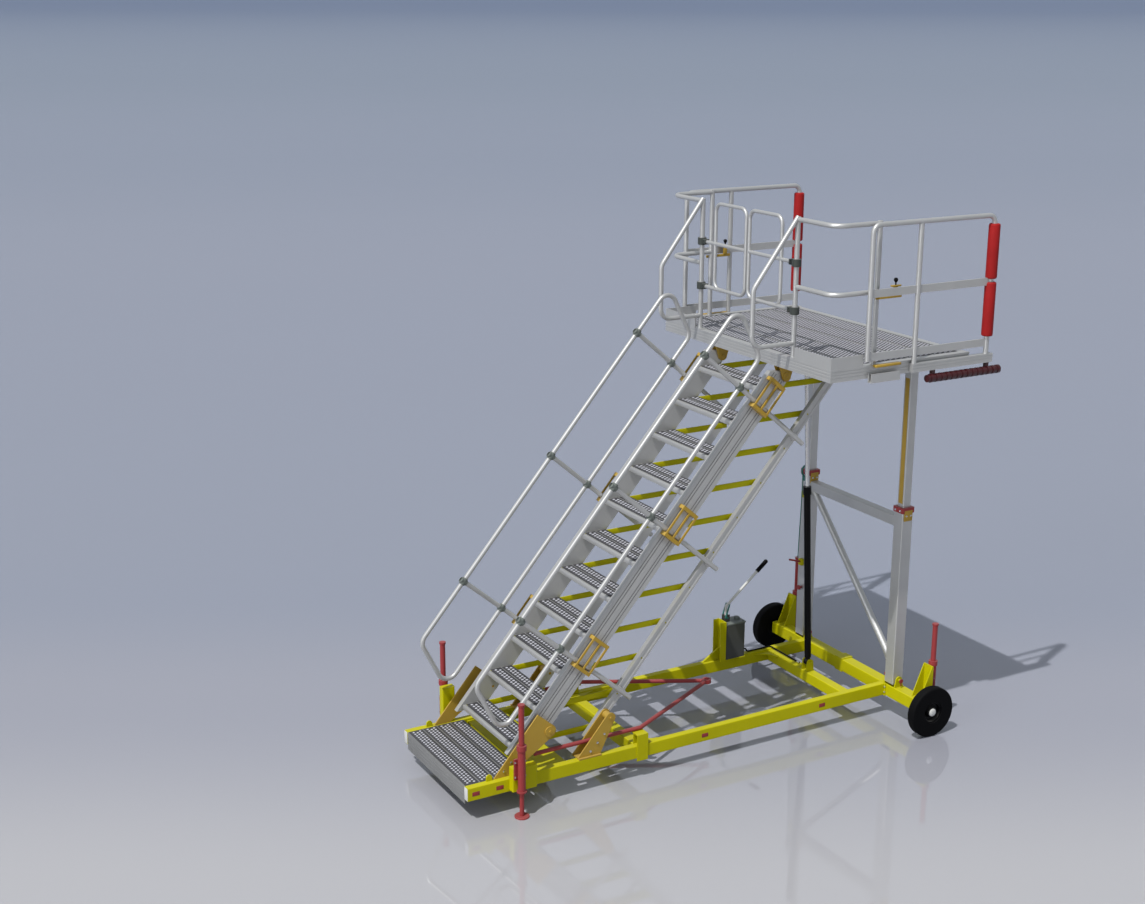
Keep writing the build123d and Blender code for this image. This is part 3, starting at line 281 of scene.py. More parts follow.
def start_material(name):
    material = bpy.data.materials.new(name)
    material.use_nodes = True
    tree = material.node_tree
    return material, tree, tree.nodes["Principled BSDF"]


def bump_normal(tree, shader, height, strength, distance):
    bump = add_node(tree, "ShaderNodeBump")
    bump.inputs["Strength"].default_value = strength
    bump.inputs["Distance"].default_value = distance
    tree.links.new(height, bump.inputs["Height"])
    tree.links.new(bump.outputs[0], shader.inputs["Normal"])


def scaled(rgb, factor):
    return tuple(min(1.0, c * factor) for c in rgb)


def toned(tree, grain, rgb, dark, light):
    """A colour that drifts between a darker and a lighter tone of itself."""
    return mix_colour(tree, grain.outputs["Tone"], scaled(rgb, dark), scaled(rgb, light))


DUST_TONE = (0.42, 0.41, 0.38)
RUBBER_BLOOM = (0.10, 0.10, 0.10)
STEEL_TONES = ((0.55, 0.55, 0.56), (0.78, 0.78, 0.77))
PAINT_RUBBED = 0.45
COAT_SHARE = 0.25
STREAK_TONE = 0.70
BRIGHT_EDGE = 1.25
PALE_CROWN_SHARE = 9.5
RUBBED_PLATE_EDGE = 5.0


def paint_material(name, rgb, gloss=0.32, wear=1.0, shine=0.22, dust_share=0.16):
    """Brushed-on gloss paint: tone changes, orange peel, rubbed edges and a little dust."""
    material, tree, shader = start_material(name)
    grain = place_group(tree, "fine_grain", Broad=3.0, Fine=260.0)
    edges = place_group(tree, "edge_wear", Radius=0.004, Amount=finishes().wear * wear, Scale=35.0)
    dust = place_group(tree, "settled_dust", Amount=dust_share, Scale=5.0)
    tone = toned(tree, grain, rgb, dark=0.86, light=1.12)
    rubbed = mix_colour(tree, edges.outputs["Mask"], tone, scaled(rgb, PAINT_RUBBED))
    dusty = mix_colour(tree, dust.outputs["Mask"], rubbed, DUST_TONE)
    tree.links.new(dusty, shader.inputs["Base Color"])
    rough = value_range(tree, grain.outputs["Tone"], low=gloss - 0.06, high=gloss + 0.10)
    tree.links.new(rough, shader.inputs["Roughness"])
    shader.inputs["Specular IOR Level"].default_value = shine
    shader.inputs["Coat Weight"].default_value = shine * COAT_SHARE
    shader.inputs["Coat Roughness"].default_value = 0.12
    bump_normal(tree, shader, grain.outputs["Tooth"], strength=0.06, distance=0.0006)
    return material


def aluminium_material(name, rgb, roughness=0.40):
    """Drawn mill-finish aluminium: darker streaks, soft tone and brighter rubbed edges."""
    material, tree, shader = start_material(name)
    grain = place_group(tree, "fine_grain", Broad=2.5, Fine=320.0)
    lines = place_group(tree, "draw_lines", Density=170.0, Stretch=0.05)
    edges = place_group(tree, "edge_wear", Radius=0.003, Amount=0.25, Scale=50.0)
    streak = lines.outputs["Streak"]
    tone = toned(tree, grain, rgb, dark=0.88, light=1.08)
    drawn = mix_colour(tree, value_range(tree, streak, low=0.0, high=0.22), tone, scaled(rgb, STREAK_TONE))
    bright = mix_colour(tree, edges.outputs["Mask"], drawn, scaled(rgb, BRIGHT_EDGE))
    tree.links.new(bright, shader.inputs["Base Color"])
    shader.inputs["Metallic"].default_value = 0.55
    rough = value_range(tree, streak, low=roughness - 0.08, high=roughness + 0.12)
    tree.links.new(rough, shader.inputs["Roughness"])
    bump_normal(tree, shader, streak, strength=0.05, distance=0.0006)
    return material


def grating_material(name, rgb):
    """Anti-slip planks: dark plate with a field of teeth whose crowns are much paler."""
    material, tree, shader = start_material(name)
    rub = add_node(tree, "ShaderNodeAttribute", attribute_name="rub")
    grain = place_group(tree, "fine_grain", Broad=6.0, Fine=240.0)
    edges = place_group(tree, "edge_wear", Radius=0.002, Amount=0.5, Scale=60.0)
    tone = toned(tree, grain, rgb, dark=0.75, light=1.25)
    # The crowns of the teeth are coloured much paler than the plate.
    bright = mix_colour(tree, rub.outputs["Fac"], tone, scaled(rgb, PALE_CROWN_SHARE))
    worn = mix_colour(tree, edges.outputs["Mask"], bright, scaled(rgb, RUBBED_PLATE_EDGE))
    tree.links.new(worn, shader.inputs["Base Color"])
    shader.inputs["Metallic"].default_value = 0.35
    rough = value_range(tree, grain.outputs["Tooth"], low=0.45, high=0.70)
    tree.links.new(rough, shader.inputs["Roughness"])
    bump_normal(tree, shader, grain.outputs["Tooth"], strength=0.25, distance=0.0010)
    return material


def rubber_material(name, rgb, roughness=0.7):
    """Moulded rubber: fine pitting and a grey bloom."""
    material, tree, shader = start_material(name)
    grain = place_group(tree, "fine_grain", Broad=9.0, Fine=420.0)
    dust = place_group(tree, "settled_dust", Amount=0.05, Scale=9.0)
    tone = toned(tree, grain, rgb, dark=0.7, light=1.6)
    dusty = mix_colour(tree, dust.outputs["Mask"], tone, RUBBER_BLOOM)
    shader.inputs["Specular IOR Level"].default_value = 0.08
    tree.links.new(dusty, shader.inputs["Base Color"])
    rough = value_range(tree, grain.outputs["Tone"], low=roughness - 0.1, high=roughness + 0.12)
    tree.links.new(rough, shader.inputs["Roughness"])
    bump_normal(tree, shader, grain.outputs["Tooth"], strength=0.2, distance=0.0008)
    return material


def steel_material(name):
    """Plated rod and hardware: bright metal with faint turning marks."""
    material, tree, shader = start_material(name)
    grain = place_group(tree, "fine_grain", Broad=8.0, Fine=500.0)
    tone = mix_colour(tree, grain.outputs["Tone"], *STEEL_TONES)
    tree.links.new(tone, shader.inputs["Base Color"])
    shader.inputs["Metallic"].default_value = 1.0
    rough = value_range(tree, grain.outputs["Tone"], low=0.12, high=0.30)
    tree.links.new(rough, shader.inputs["Roughness"])
    bump_normal(tree, shader, grain.outputs["Tooth"], strength=0.04, distance=0.0004)
    return material


def foam_material(name, rgb):
    """Closed-cell foam skin: fine pores and a soft sheen."""
    material, tree, shader = start_material(name)
    grain = place_group(tree, "fine_grain", Broad=12.0, Fine=650.0)
    tone = toned(tree, grain, rgb, dark=0.84, light=1.15)
    tree.links.new(tone, shader.inputs["Base Color"])
    rough = value_range(tree, grain.outputs["Tooth"], low=0.55, high=0.8)
    tree.links.new(rough, shader.inputs["Roughness"])
    shader.inputs["Specular IOR Level"].default_value = 0.2
    bump_normal(tree, shader, grain.outputs["Tooth"], strength=0.25, distance=0.0012)
    return material


MATERIALS = {}
# Share of the aluminium colour that gives its darker copy, which is painted shade.
PAINTED_SHADE_SHARE = 0.54
CLAMP_SHARE = 0.36


def make_materials():
    f = finishes()
    MATERIALS.update({
        "yellow_paint": paint_material("safety_yellow", tuple(f.yellow), shine=0.10, dust_share=0.06),
        "orange_paint": paint_material("hinge_orange", tuple(f.orange)),
        "red_paint": paint_material("jack_red", tuple(f.red)),
        "grey_paint": paint_material("tank_grey", tuple(f.tank)),
        "black_paint": paint_material("cylinder_black", tuple(f.black), gloss=0.3, shine=0.10),
        "aluminium": aluminium_material("mill_aluminium", tuple(f.aluminium)),
        "grating": grating_material("grating_plank", tuple(f.grating)),
        "tyre": rubber_material("tyre_rubber", tuple(f.rubber)),
        "rubber": rubber_material("hose_rubber", tuple(f.rubber), roughness=0.5),
        "steel": steel_material("plated_steel"),
        "foam": foam_material("bumper_foam", tuple(f.foam)),
        "bumper": paint_material("bumper_rubber", tuple(f.bumper), gloss=0.25, shine=0.5, dust_share=0.0),
        # A darker copy of aluminium: painted shade for the landing fascia and the strips between the stringer
        # ribs.
        "shade_painted_aluminium": aluminium_material(
            "shade_painted_aluminium", scaled(f.aluminium, PAINTED_SHADE_SHARE), roughness=0.5),
        "fitting": paint_material("cast_fitting", tuple(f.fitting), gloss=0.45),
        "dark_fitting": paint_material("hinge_clamp", scaled(f.fitting, CLAMP_SHARE), gloss=0.45),
        "teal_paint": paint_material("linkage_teal", tuple(f.teal)),
        "white_paint": paint_material("end_white", tuple(f.white), gloss=0.4),
    })


class PLATFORM_OT_finish_nodes(bpy.types.Operator):
    """Give every solid of the frame its own finish"""
    bl_idname = "platform.finish_nodes"
    bl_label = "Finish the Frame"

    def execute(self, context):
        make_materials()
        for name, node in frame["nodes"].items():
            node.data.materials.clear()
            node.data.materials.append(MATERIALS[NODE_FINISH.get(name, NODE_SLOT[name])])
        return {"FINISHED"}


# Places taken from the frame
BODY_OF = {node: body for body, nodes in frame["record"]["behaviour"]["bodies"].items() for node in nodes}
JOINT_AT = {j["name"]: Vector(j["pos_m"]) for j in frame["record"]["behaviour"]["joints"] if "pos_m" in j}
STAIR_FOOT = JOINT_AT["stair_lift"]
STAIR_HEAD = JOINT_AT["deck_level"]
UP_SLOPE = (STAIR_HEAD - STAIR_FOOT).normalized()
OUT_SLOPE = Vector((UP_SLOPE.z, 0.0, -UP_SLOPE.x))
ACROSS = Vector((0.0, 1.0, 0.0))
SQUARE = (Vector((1.0, 0.0, 0.0)), ACROSS, Vector((0.0, 0.0, 1.0)))
SHARP = math.radians(32.0)


def slope_point(along, out, y):
    return STAIR_FOOT + UP_SLOPE * along + OUT_SLOPE * out + ACROSS * y


# How softly the edges of small parts are rounded
EDGE_CRISP = 0.001
EDGE_FINE = 0.0015
EDGE_PLATE = 0.002
EDGE_SOFT = 0.003
EDGE_ROUND = 0.004

# Mesh building; a bolt's measures are shares of its head's radius
HEX = 6
STUD_TAPER = 0.8
WASHER_T = 0.22
WASHER_FOOT = 1.25
WASHER_TOP = 1.2
HEAD_T = 0.75
HEAD_SHOULDER = 0.85
HEAD_TOP = 0.82


class Shape:
    """One mesh built up from bevelled blocks, turned parts, bent tubes and studs"""

    def __init__(self):
        self.mesh = bmesh.new()
        self.rub = self.mesh.verts.layers.float.new("rub")

    def block(self, centre, half, axes=SQUARE, bevel=EDGE_FINE):
        made = bmesh.ops.create_cube(self.mesh, size=2.0)["verts"]
        for vert in made:
            signs = vert.co.copy()
            vert.co = Vector(centre)
            for axis, reach, sign in zip(axes, half, signs):
                vert.co += axis * reach * sign
        edges = list(dict.fromkeys(edge for vert in made for edge in vert.link_edges))
        bmesh.ops.bevel(self.mesh, geom=edges, offset=bevel, segments=2, profile=0.5, affect="EDGES")
        return self

    def box(self, first, second, bevel=EDGE_FINE):
        first, second = Vector(first), Vector(second)
        half = [abs(a - b) / 2 for a, b in zip(first, second)]
        return self.block((first + second) / 2, half, SQUARE, bevel)

    def skin(self, rings, closed=False):
        pairs = list(zip(rings, rings[1:]))
        if closed:
            pairs.append((rings[-1], rings[0]))
        for one, two in pairs:
            count = max(len(one), len(two))
            for k in range(count):
                after = k + 1
                corners = [one[k % len(one)], one[after % len(one)], two[after % len(two)], two[k % len(two)]]
                face = list(dict.fromkeys(corners))
                if len(face) > 2:
                    self.mesh.faces.new(face)

    def ring(self, centre, axis, radius, sides):
        if radius == 0.0:
            return [self.mesh.verts.new(centre)]
        first = axis.orthogonal().normalized()
        second = axis.cross(first)
        verts = []
        for k in range(sides):
            turn = math.tau * k / sides
            spoke = first * math.cos(turn) + second * math.sin(turn)
            verts.append(self.mesh.verts.new(centre + spoke * radius))
        return verts

    def lathe(self, base, axis, profile, sides=28, closed=False):
        """Turn (distance along, radius) pairs about an axis."""
        axis = Vector(axis).normalized()
        self.skin([self.ring(Vector(base) + axis * along, axis, r, sides) for along, r in profile], closed)
        return self

    def rod(self, start, end, radius, sides=20, edge=0.0012):
        start, end = Vector(start), Vector(end)
        reach = (end - start).length
        profile = [(0.0, 0.0), (0.0, radius - edge), (edge, radius)]
        profile += [(reach - edge, radius), (reach, radius - edge), (reach, 0.0)]
        return self.lathe(start, end - start, profile, sides)

    def sleeve(self, start, end, inner, outer, edge=EDGE_FINE, sides=28):
        start, end = Vector(start), Vector(end)
        reach = (end - start).length
        profile = [(0.0, inner), (0.0, outer - edge), (edge, outer)]
        profile += [(reach - edge, outer), (reach, outer - edge), (reach, inner)]
        return self.lathe(start, end - start, profile, sides, closed=True)

    def tube(self, points, radius, sides=12):
        points = [Vector(p) for p in points]
        rings = []
        for before, here, after in zip(points[:1] + points, points, points[1:] + points[-1:]):
            rings.append(self.ring(here, (after - before).normalized(), radius, sides))
        self.skin(rings)
        self.mesh.faces.new(rings[0])
        self.mesh.faces.new(rings[-1])
        return self

    def studs(self, low, high, z, pitches, radius, height):
        """Staggered rows of small raised teeth over a level field."""
        rows, columns = (max(1, round((b - a) / pitch)) for a, b, pitch in zip(low, high, pitches))
        up = SQUARE[2]
        for i in range(rows):
            shift = 0.5 * (i % 2)
            for j in range(columns - i % 2):
                x = low[0] + (high[0] - low[0]) * (i + 0.5) / rows
                y = low[1] + (high[1] - low[1]) * (j + 0.5 + shift) / columns
                foot = self.ring(Vector((x, y, z)), up, radius, HEX)
                crown = self.ring(Vector((x, y, z + height)), up, radius * STUD_TAPER, HEX)
                for vert in crown:
                    vert[self.rub] = 1.0
                self.skin([foot, crown])
                self.mesh.faces.new(crown)
        return self

    def bolt(self, seat, axis, size=0.010):
        """Washer and hexagon head, standing on a face."""
        axis = Vector(axis).normalized()
        washer, head = size * WASHER_T, size * HEAD_T
        rim = [(0.0, size * WASHER_FOOT), (washer, size * WASHER_TOP), (washer, 0.0)]
        self.lathe(seat, axis, rim, sides=20)
        crown = [(washer, size), (washer + head * HEAD_SHOULDER, size)]
        crown += [(washer + head, size * HEAD_TOP), (washer + head, 0.0)]
        self.lathe(seat, axis, crown, sides=HEX)
        return self

    def done(self, name, finish, body, slot, replaced=()):
        bmesh.ops.recalc_face_normals(self.mesh, faces=self.mesh.faces[:])
        mesh = bpy.data.meshes.new(name)
        self.mesh.to_mesh(mesh)
        self.mesh.free()
        mesh.shade_smooth()
        mesh.set_sharp_from_angle(angle=SHARP)
        mesh.materials.append(MATERIALS[finish])
        piece = bpy.data.objects.new(name, mesh)
        bpy.context.scene.collection.objects.link(piece)
        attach(piece, body)
        if replaced:
            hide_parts(*replaced)
        return piece


# Walking surfaces: a field of studs has its pitches along and across, and a stud's radius
PLANK_T = 0.040
PLANK_DEPTH = 0.225
PLANK_HALF = 0.412
PLANK_END = 0.004
PLATE_T = 0.006
SEAM = 0.004
SEAM_PROUD = 0.001
NOSING = 0.028
NOSING_EDGE = 0.007
TREAD_SEAM_H = 0.003
TREAD_SEAM_EDGE = 0.0008
ARM_OUT = 0.398
ARM_T = 0.010
ARM_H = 0.048
ARM_START = 0.020
ARM_PAST_PIN = 0.032
TREAD_PIN_R = 0.008
TREAD_BOLT = 0.009
STUD_H = 0.003
STUD_MARGIN = 0.004
TREAD_STUDS = ((0.030, 0.040), 0.0130)
LANDING_STUDS = ((0.026, 0.034), 0.0110)
DECK_STUDS = ((0.026, 0.034), 0.0098)


def lay_plank(shape, x0, x1, y0, y1, top, studs, thickness=PLANK_T):
    """A folded plank: plate with turned-down edges and rows of teeth."""
    shape.box((x0, y0, top - PLATE_T), (x1, y1, top), EDGE_PLATE)
    for a, b in ((x0, x0 + PLATE_T), (x1 - PLATE_T, x1)):
        shape.box((a, y0, top - thickness), (b, y1, top - PLATE_T / 2))
    pitches, radius = studs
    margin = radius + STUD_MARGIN
    shape.studs((x0 + margin, y0 + margin), (x1 - margin, y1 - margin), top, pitches, radius, STUD_H)


def dress_tread(node):
    low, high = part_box(node)
    pin = JOINT_AT[node + "_level"]
    top, nose, back = high.z, low.x, low.x + PLANK_DEPTH
    middle = (nose + NOSING + back) / 2
    end = PLANK_HALF - PLANK_END
    planks = Shape()
    for first, last in ((nose + NOSING + SEAM, middle), (middle + SEAM, back)):
        lay_plank(planks, first, last, -end, end, top, TREAD_STUDS)
    planks.done(node + "_planks", "grating", node, "grating", (node,))
    bright = Shape()
    proud = top + SEAM_PROUD
    bright.box((nose, -PLANK_HALF, top - PLANK_T), (nose + NOSING, PLANK_HALF, proud), NOSING_EDGE)
    bright.box((middle, -end, top - TREAD_SEAM_H), (middle + SEAM, end, proud), TREAD_SEAM_EDGE)
    arms = Shape()
    for side in SIDES:
        bright.box((nose + NOSING, side * end, top - PLANK_T), (back, side * PLANK_HALF, top), EDGE_CRISP)
        inner, outer = side * (ARM_OUT - ARM_T), side * ARM_OUT
        arms.box((nose + ARM_START, inner, low.z), (high.x, outer, low.z + ARM_H), EDGE_SOFT)
        for x in (pin.x, high.x - ARM_PAST_PIN):
            arms.rod((x, outer, pin.z), (x, side * high.y, pin.z), TREAD_PIN_R)
            arms.bolt((x, inner, pin.z), (0, -side, 0), TREAD_BOLT)
    bright.done(node + "_nosing", "aluminium", node, "aluminium")
    arms.done(node + "_arms", "yellow_paint", node, "yellow_paint")


class PLATFORM_OT_treads(bpy.types.Operator):
    """Lay studded planks, bright nosings and painted arms on every tread"""
    bl_idname = "platform.treads"
    bl_label = "Treads"

    def execute(self, context):
        for node in TREAD_NODES:
            dress_tread(node)
        return {"FINISHED"}


class PLATFORM_OT_deck_planks(bpy.types.Operator):
    """Cover the deck with studded planks between bright seams"""
    bl_idname = "platform.deck_planks"
    bl_label = "Deck Planks"
    planks: bpy.props.IntProperty(name="Planks", description="Planks across the deck", default=5, min=1)

    def execute(self, context):
        low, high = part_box("deck_grating")
        top = high.z - STUD_H
        seam_low, seam_high = low.z + PLANK_T / 4, high.z - STUD_H / 2
        step = (high.x - low.x) / self.planks
        surface = Shape()
        seams = Shape()
        for i in range(self.planks):
            x0 = low.x + step * i
            lay_plank(surface, x0 + SEAM, x0 + step - SEAM, low.y, high.y, top, DECK_STUDS, top - low.z)
            if i:
                seams.box((x0 - SEAM, low.y, seam_low), (x0 + SEAM, high.y, seam_high), EDGE_CRISP)
        surface.done("deck_planks", "grating", BODY_OF["deck_grating"], "grating", ("deck_grating",))
        seams.done("deck_seams", "aluminium", BODY_OF["deck_grating"], "aluminium")
        return {"FINISHED"}


LANDING_PLANK_T = PLANK_T * 0.8
LANDING_SEAM_H = 0.010
FASCIA_SET = 0.002
FASCIA_RIBS = 5
FASCIA_RIB_T = 0.004
FASCIA_BOLT = 0.006
FASCIA_BOLT_SEAT = 0.006
FASCIA_BOLT_IN = 0.04
FASCIA_BOLT_DROPS = (0.03, 0.08)
RAIL_H = 0.110
CAP_PROUD = 0.003
CAP_DEPTH = 0.010
CAP_REACH = (0.002, 0.058)


class PLATFORM_OT_landing(bpy.types.Operator):
    """Lay the landing's planks behind a ribbed fascia and cap the rail ends"""
    bl_idname = "platform.landing"
    bl_label = "Landing"
    planks: bpy.props.IntProperty(name="Planks", description="Planks across the landing", default=4, min=1)
    fascia_t: length("Fascia", "Thickness of the front fascia", 0.008)
    rib_h: length("Rib", "Height of a fascia rib", 0.006)

    def execute(self, context):
        low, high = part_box("landing")
        start = low.x + self.fascia_t
        step = (high.x - start) / self.planks
        top, proud = high.z - SEAM_PROUD, high.z + SEAM_PROUD
        seam_low = high.z - LANDING_SEAM_H
        surface = Shape()
        bright = Shape()
        for i in range(self.planks):
            x0 = start + step * i
            first, last = x0 + SEAM, x0 + step - SEAM
            lay_plank(surface, first, last, low.y, high.y, top, LANDING_STUDS, LANDING_PLANK_T)
            if i:
                bright.box((x0 - SEAM, low.y, seam_low), (first, high.y, proud), EDGE_CRISP)
        bright.box((low.x + FASCIA_SET, low.y, low.z), (start, high.y, proud), EDGE_PLATE)
        rib_back = low.x + FASCIA_RIB_T
        for i in range(FASCIA_RIBS):
            z = low.z + (high.z - low.z) * (i + 0.5) / FASCIA_RIBS
            bright.box((low.x, low.y, z - self.rib_h / 2), (rib_back, high.y, z + self.rib_h / 2))
        caps = Shape()
        cap_in, cap_out = (high.y + reach for reach in CAP_REACH)
        for side in SIDES:
            caps.box((low.x - CAP_PROUD, side * cap_in, high.z - RAIL_H + CAP_PROUD),
                     (low.x + CAP_DEPTH, side * cap_out, high.z - CAP_PROUD), EDGE_ROUND)
            for drop in FASCIA_BOLT_DROPS:
                seat = (low.x + FASCIA_BOLT_SEAT, side * (high.y - FASCIA_BOLT_IN), high.z - drop)
                bright.bolt(seat, (-1, 0, 0), FASCIA_BOLT)
        surface.done("landing_planks", "grating", "base", "grating", ("landing",))
        # The fascia, its ribs, the plank seams and the bolts take the darker aluminium: painted shade.
        bright.done("landing_fascia", "shade_painted_aluminium", "base", "aluminium")
        caps.done("rail_end_caps", "white_paint", "base", "aluminium")
        return {"FINISHED"}


# Soft parts
SLEEVE_ROUND = 0.014
SLEEVE_LIP = 0.016
SLEEVE_STEPS = (0.001, 0.004, 0.008, 0.014)


def rounded_edge(outer):
    """(distance along, radius) pairs round the end edge of a sleeve."""
    pairs = []
    for t in SLEEVE_STEPS:
        sunk = 1 - math.sin(math.acos(1 - t / SLEEVE_ROUND))
        pairs.append((t, outer - SLEEVE_ROUND * sunk))
    return pairs


class PLATFORM_OT_foam(bpy.types.Operator):
    """Slip rounded foam sleeves over the end posts"""
    bl_idname = "platform.foam"
    bl_label = "Foam Sleeves"
    sleeve: length("Sleeve", "Length of one sleeve", 0.430)
    post_r: length("Post", "Radius of the post inside", 0.0205)

    def execute(self, context):
        for side in SIDES:
            node = "foam_" + SIDE_NAMES[side]
            low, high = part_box(node)
            x, y = (low.x + high.x) / 2, (low.y + high.y) / 2
            outer = (high.x - low.x) / 2
            rounding = rounded_edge(outer)
            profile = [(0.0, self.post_r), (0.0, outer - SLEEVE_LIP)] + rounding
            profile += [(self.sleeve - t, r) for t, r in reversed(rounding)]
            profile += [(self.sleeve, outer - SLEEVE_LIP), (self.sleeve, self.post_r)]
            soft = Shape()
            for z in (low.z, high.z - self.sleeve):
                soft.lathe((x, y, z), (0, 0, 1), profile, sides=40, closed=True)
            piece = soft.done(node + "_sleeves", "foam", BODY_OF[node], "foam", (node,))
        return {"FINISHED"}


# Stringers: two sunk bands on each outer face
UPPER_BAND = -0.1225
LOWER_BAND = -0.0375
UPPER_BAND_START = -0.290
UPPER_BAND_STOP = 0.035
BAND_STRIPS = 5
RIB_SET = 0.0004


class PLATFORM_OT_stringer_ribs(bpy.types.Operator):
    """Run fine extruded ribs along the sunk bands of the stringers, with darker strips between them as
    painted shade in the hollows
    """
    bl_idname = "platform.stringer_ribs"
    bl_label = "Stringer Ribs"
    rib_w: length("Rib width", "Width of one rib", 0.012)
    pitch: length("Pitch", "From rib to rib", 0.025)
    sunk: length("Sunk", "Depth of the bands below the flanges", 0.004)
    pin_gap: length("Pin gap", "How far the lower band's ribs stop short of the hinge pins", 0.050)

    def execute(self, context):
        stair = (STAIR_HEAD - STAIR_FOOT).length
        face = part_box("stringers")[1].y
        rows = ((UPPER_BAND, UPPER_BAND_START, stair - UPPER_BAND_STOP),
                (LOWER_BAND, self.pin_gap, stair - self.pin_gap))
        ribs = Shape()
        groove_shade_strips = Shape()
        for side in SIDES:
            for first, start, end in rows:
                for k in range(BAND_STRIPS):
                    raised = k % 2 == 0
                    thick = self.sunk if raised else self.sunk / 4
                    sink = self.sunk - thick / 2 + RIB_SET
                    middle = slope_point((start + end) / 2, first + self.pitch / 2 * k, side * (face - sink))
                    half = ((end - start) / 2, thick / 2, self.rib_w / 2)
                    # The thin strips between the ribs are painted shade: darker aluminium where the hollows
                    # would be shaded.
                    strip = ribs if raised else groove_shade_strips
                    strip.block(middle, half, (UP_SLOPE, ACROSS, OUT_SLOPE), thick / 4)
        ribs.done("stringer_ribs", "aluminium", BODY_OF["stringers"], "aluminium")
        groove_shade_strips.done("stringer_groove_shade", "shade_painted_aluminium", BODY_OF["stringers"], "aluminium")
        return {"FINISHED"}


# Handrails and gates: rails lie above the stair's line, posts stand along it
HAND_TOP = 0.766
HAND_MID = 0.325
RAIL_R = 0.019
POST_LOW = 0.560
POST_SHORT = 0.320
FITTING_PLAY = 0.0002
FITTING_BOLT = 0.005
FITTING_BOLT_AT = 0.6
FITTING_BOLT_SUNK = 0.001


class PLATFORM_OT_rail_fittings(bpy.types.Operator):
    """Clamp the handrail posts to their rails with cast cross fittings"""
    bl_idname = "platform.rail_fittings"
    bl_label = "Rail Fittings"
    wall: length("Wall", "Wall of a cast fitting", 0.0045)
    reach: length("Reach", "Half length of a fitting's sleeve", 0.030)

    def execute(self, context):
        last = (STAIR_HEAD - STAIR_FOOT).length - POST_SHORT
        y_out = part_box("handrails")[1].y - RAIL_R
        bore, outer = RAIL_R + FITTING_PLAY, RAIL_R + self.wall
        bolt_out = outer - FITTING_BOLT_SUNK
        cast = Shape()
        for side in SIDES:
            for along in (POST_LOW, (POST_LOW + last) / 2, last):
                for out in (-HAND_TOP, -HAND_MID):
                    at = slope_point(along, out, side * y_out)
                    for way in (UP_SLOPE, OUT_SLOPE):
                        cast.sleeve(at - way * self.reach, at + way * self.reach, bore, outer)
                    for way in (UP_SLOPE, OUT_SLOPE):
                        seat = at + way * self.reach * FITTING_BOLT_AT + ACROSS * side * bolt_out
                        cast.bolt(seat, (0, side, 0), FITTING_BOLT)
        cast.done("handrail_fittings", "fitting", "links", "grey_paint")
        return {"FINISHED"}


CLAMP_BORE = 0.0301
CLAMP_R = 0.036
CLAMP_DROP = 0.002
CLAMP_STEP = 0.370
EAR_OUT = 0.052
EAR_HALF = 0.022
EAR_BOLT = 0.006
EAR_BOLT_SHIFT = 0.012


class PLATFORM_OT_gate_clamps(bpy.types.Operator):
    """Bolt dark hinge clamps round the gate posts"""
    bl_idname = "platform.gate_clamps"
    bl_label = "Gate Clamps"
    tall: length("Height", "Half the height of a clamp", 0.030)

    def execute(self, context):
        for side in SIDES:
            node = "gate_" + SIDE_NAMES[side]
            x, y, _ = JOINT_AT[node + "_swing"]
            ear = y - side * EAR_OUT
            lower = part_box(node)[0].z + self.tall - CLAMP_DROP
            clamps = Shape()
            for z in (lower, lower + CLAMP_STEP):
                clamps.sleeve((x, y, z - self.tall), (x, y, z + self.tall), CLAMP_BORE, CLAMP_R, EDGE_SOFT)
                clamps.box((x - EAR_HALF, ear - EAR_HALF, z - EAR_HALF),
                           (x + EAR_HALF, ear + EAR_HALF, z + EAR_HALF), EDGE_ROUND)
                for shift in (-EAR_BOLT_SHIFT, EAR_BOLT_SHIFT):
                    clamps.bolt((x - EAR_HALF, ear, z + shift), (-1, 0, 0), EAR_BOLT)
            clamps.done(node + "_clamps", "dark_fitting", node, "grey_paint")
        return {"FINISHED"}


# Side guards: pairs are reaches outward from the deck's edge, then heights
FOOT_BAR = ((0.0005, 0.040), (-0.016, 0.004))
MID_BAR = ((-0.0165, 0.001), (0.0, 0.022))
MID_RISE = 0.501
LATCH_AT = 0.19
LATCH_CAP = ((-0.022, 0.0), (0.084, 0.096))
LATCH_CAP_HALF = 0.045
LATCH_PLATE = ((-0.022, -0.006), (0.020, 0.086))
LATCH_PLATE_HALF = 0.018
STEM_IN = 0.014
STEM_RISE = 0.094
STEM_H = 0.028
STEM_R = 0.006
KNOB_BALL = (
    (0.024, 0.0), (0.024, 0.008), (0.030, 0.014),
    (0.042, 0.017), (0.054, 0.012), (0.058, 0.0),
)


def edge_bar(shape, span, side, edge, base, section, bevel=EDGE_SOFT):
    """A bar along the deck's edge, with its reaches and heights given as pairs."""
    reaches, heights = section
    corners = [(x, edge + side * reach, base + rise) for x, reach, rise in zip(span, reaches, heights)]
    shape.box(*corners, bevel)


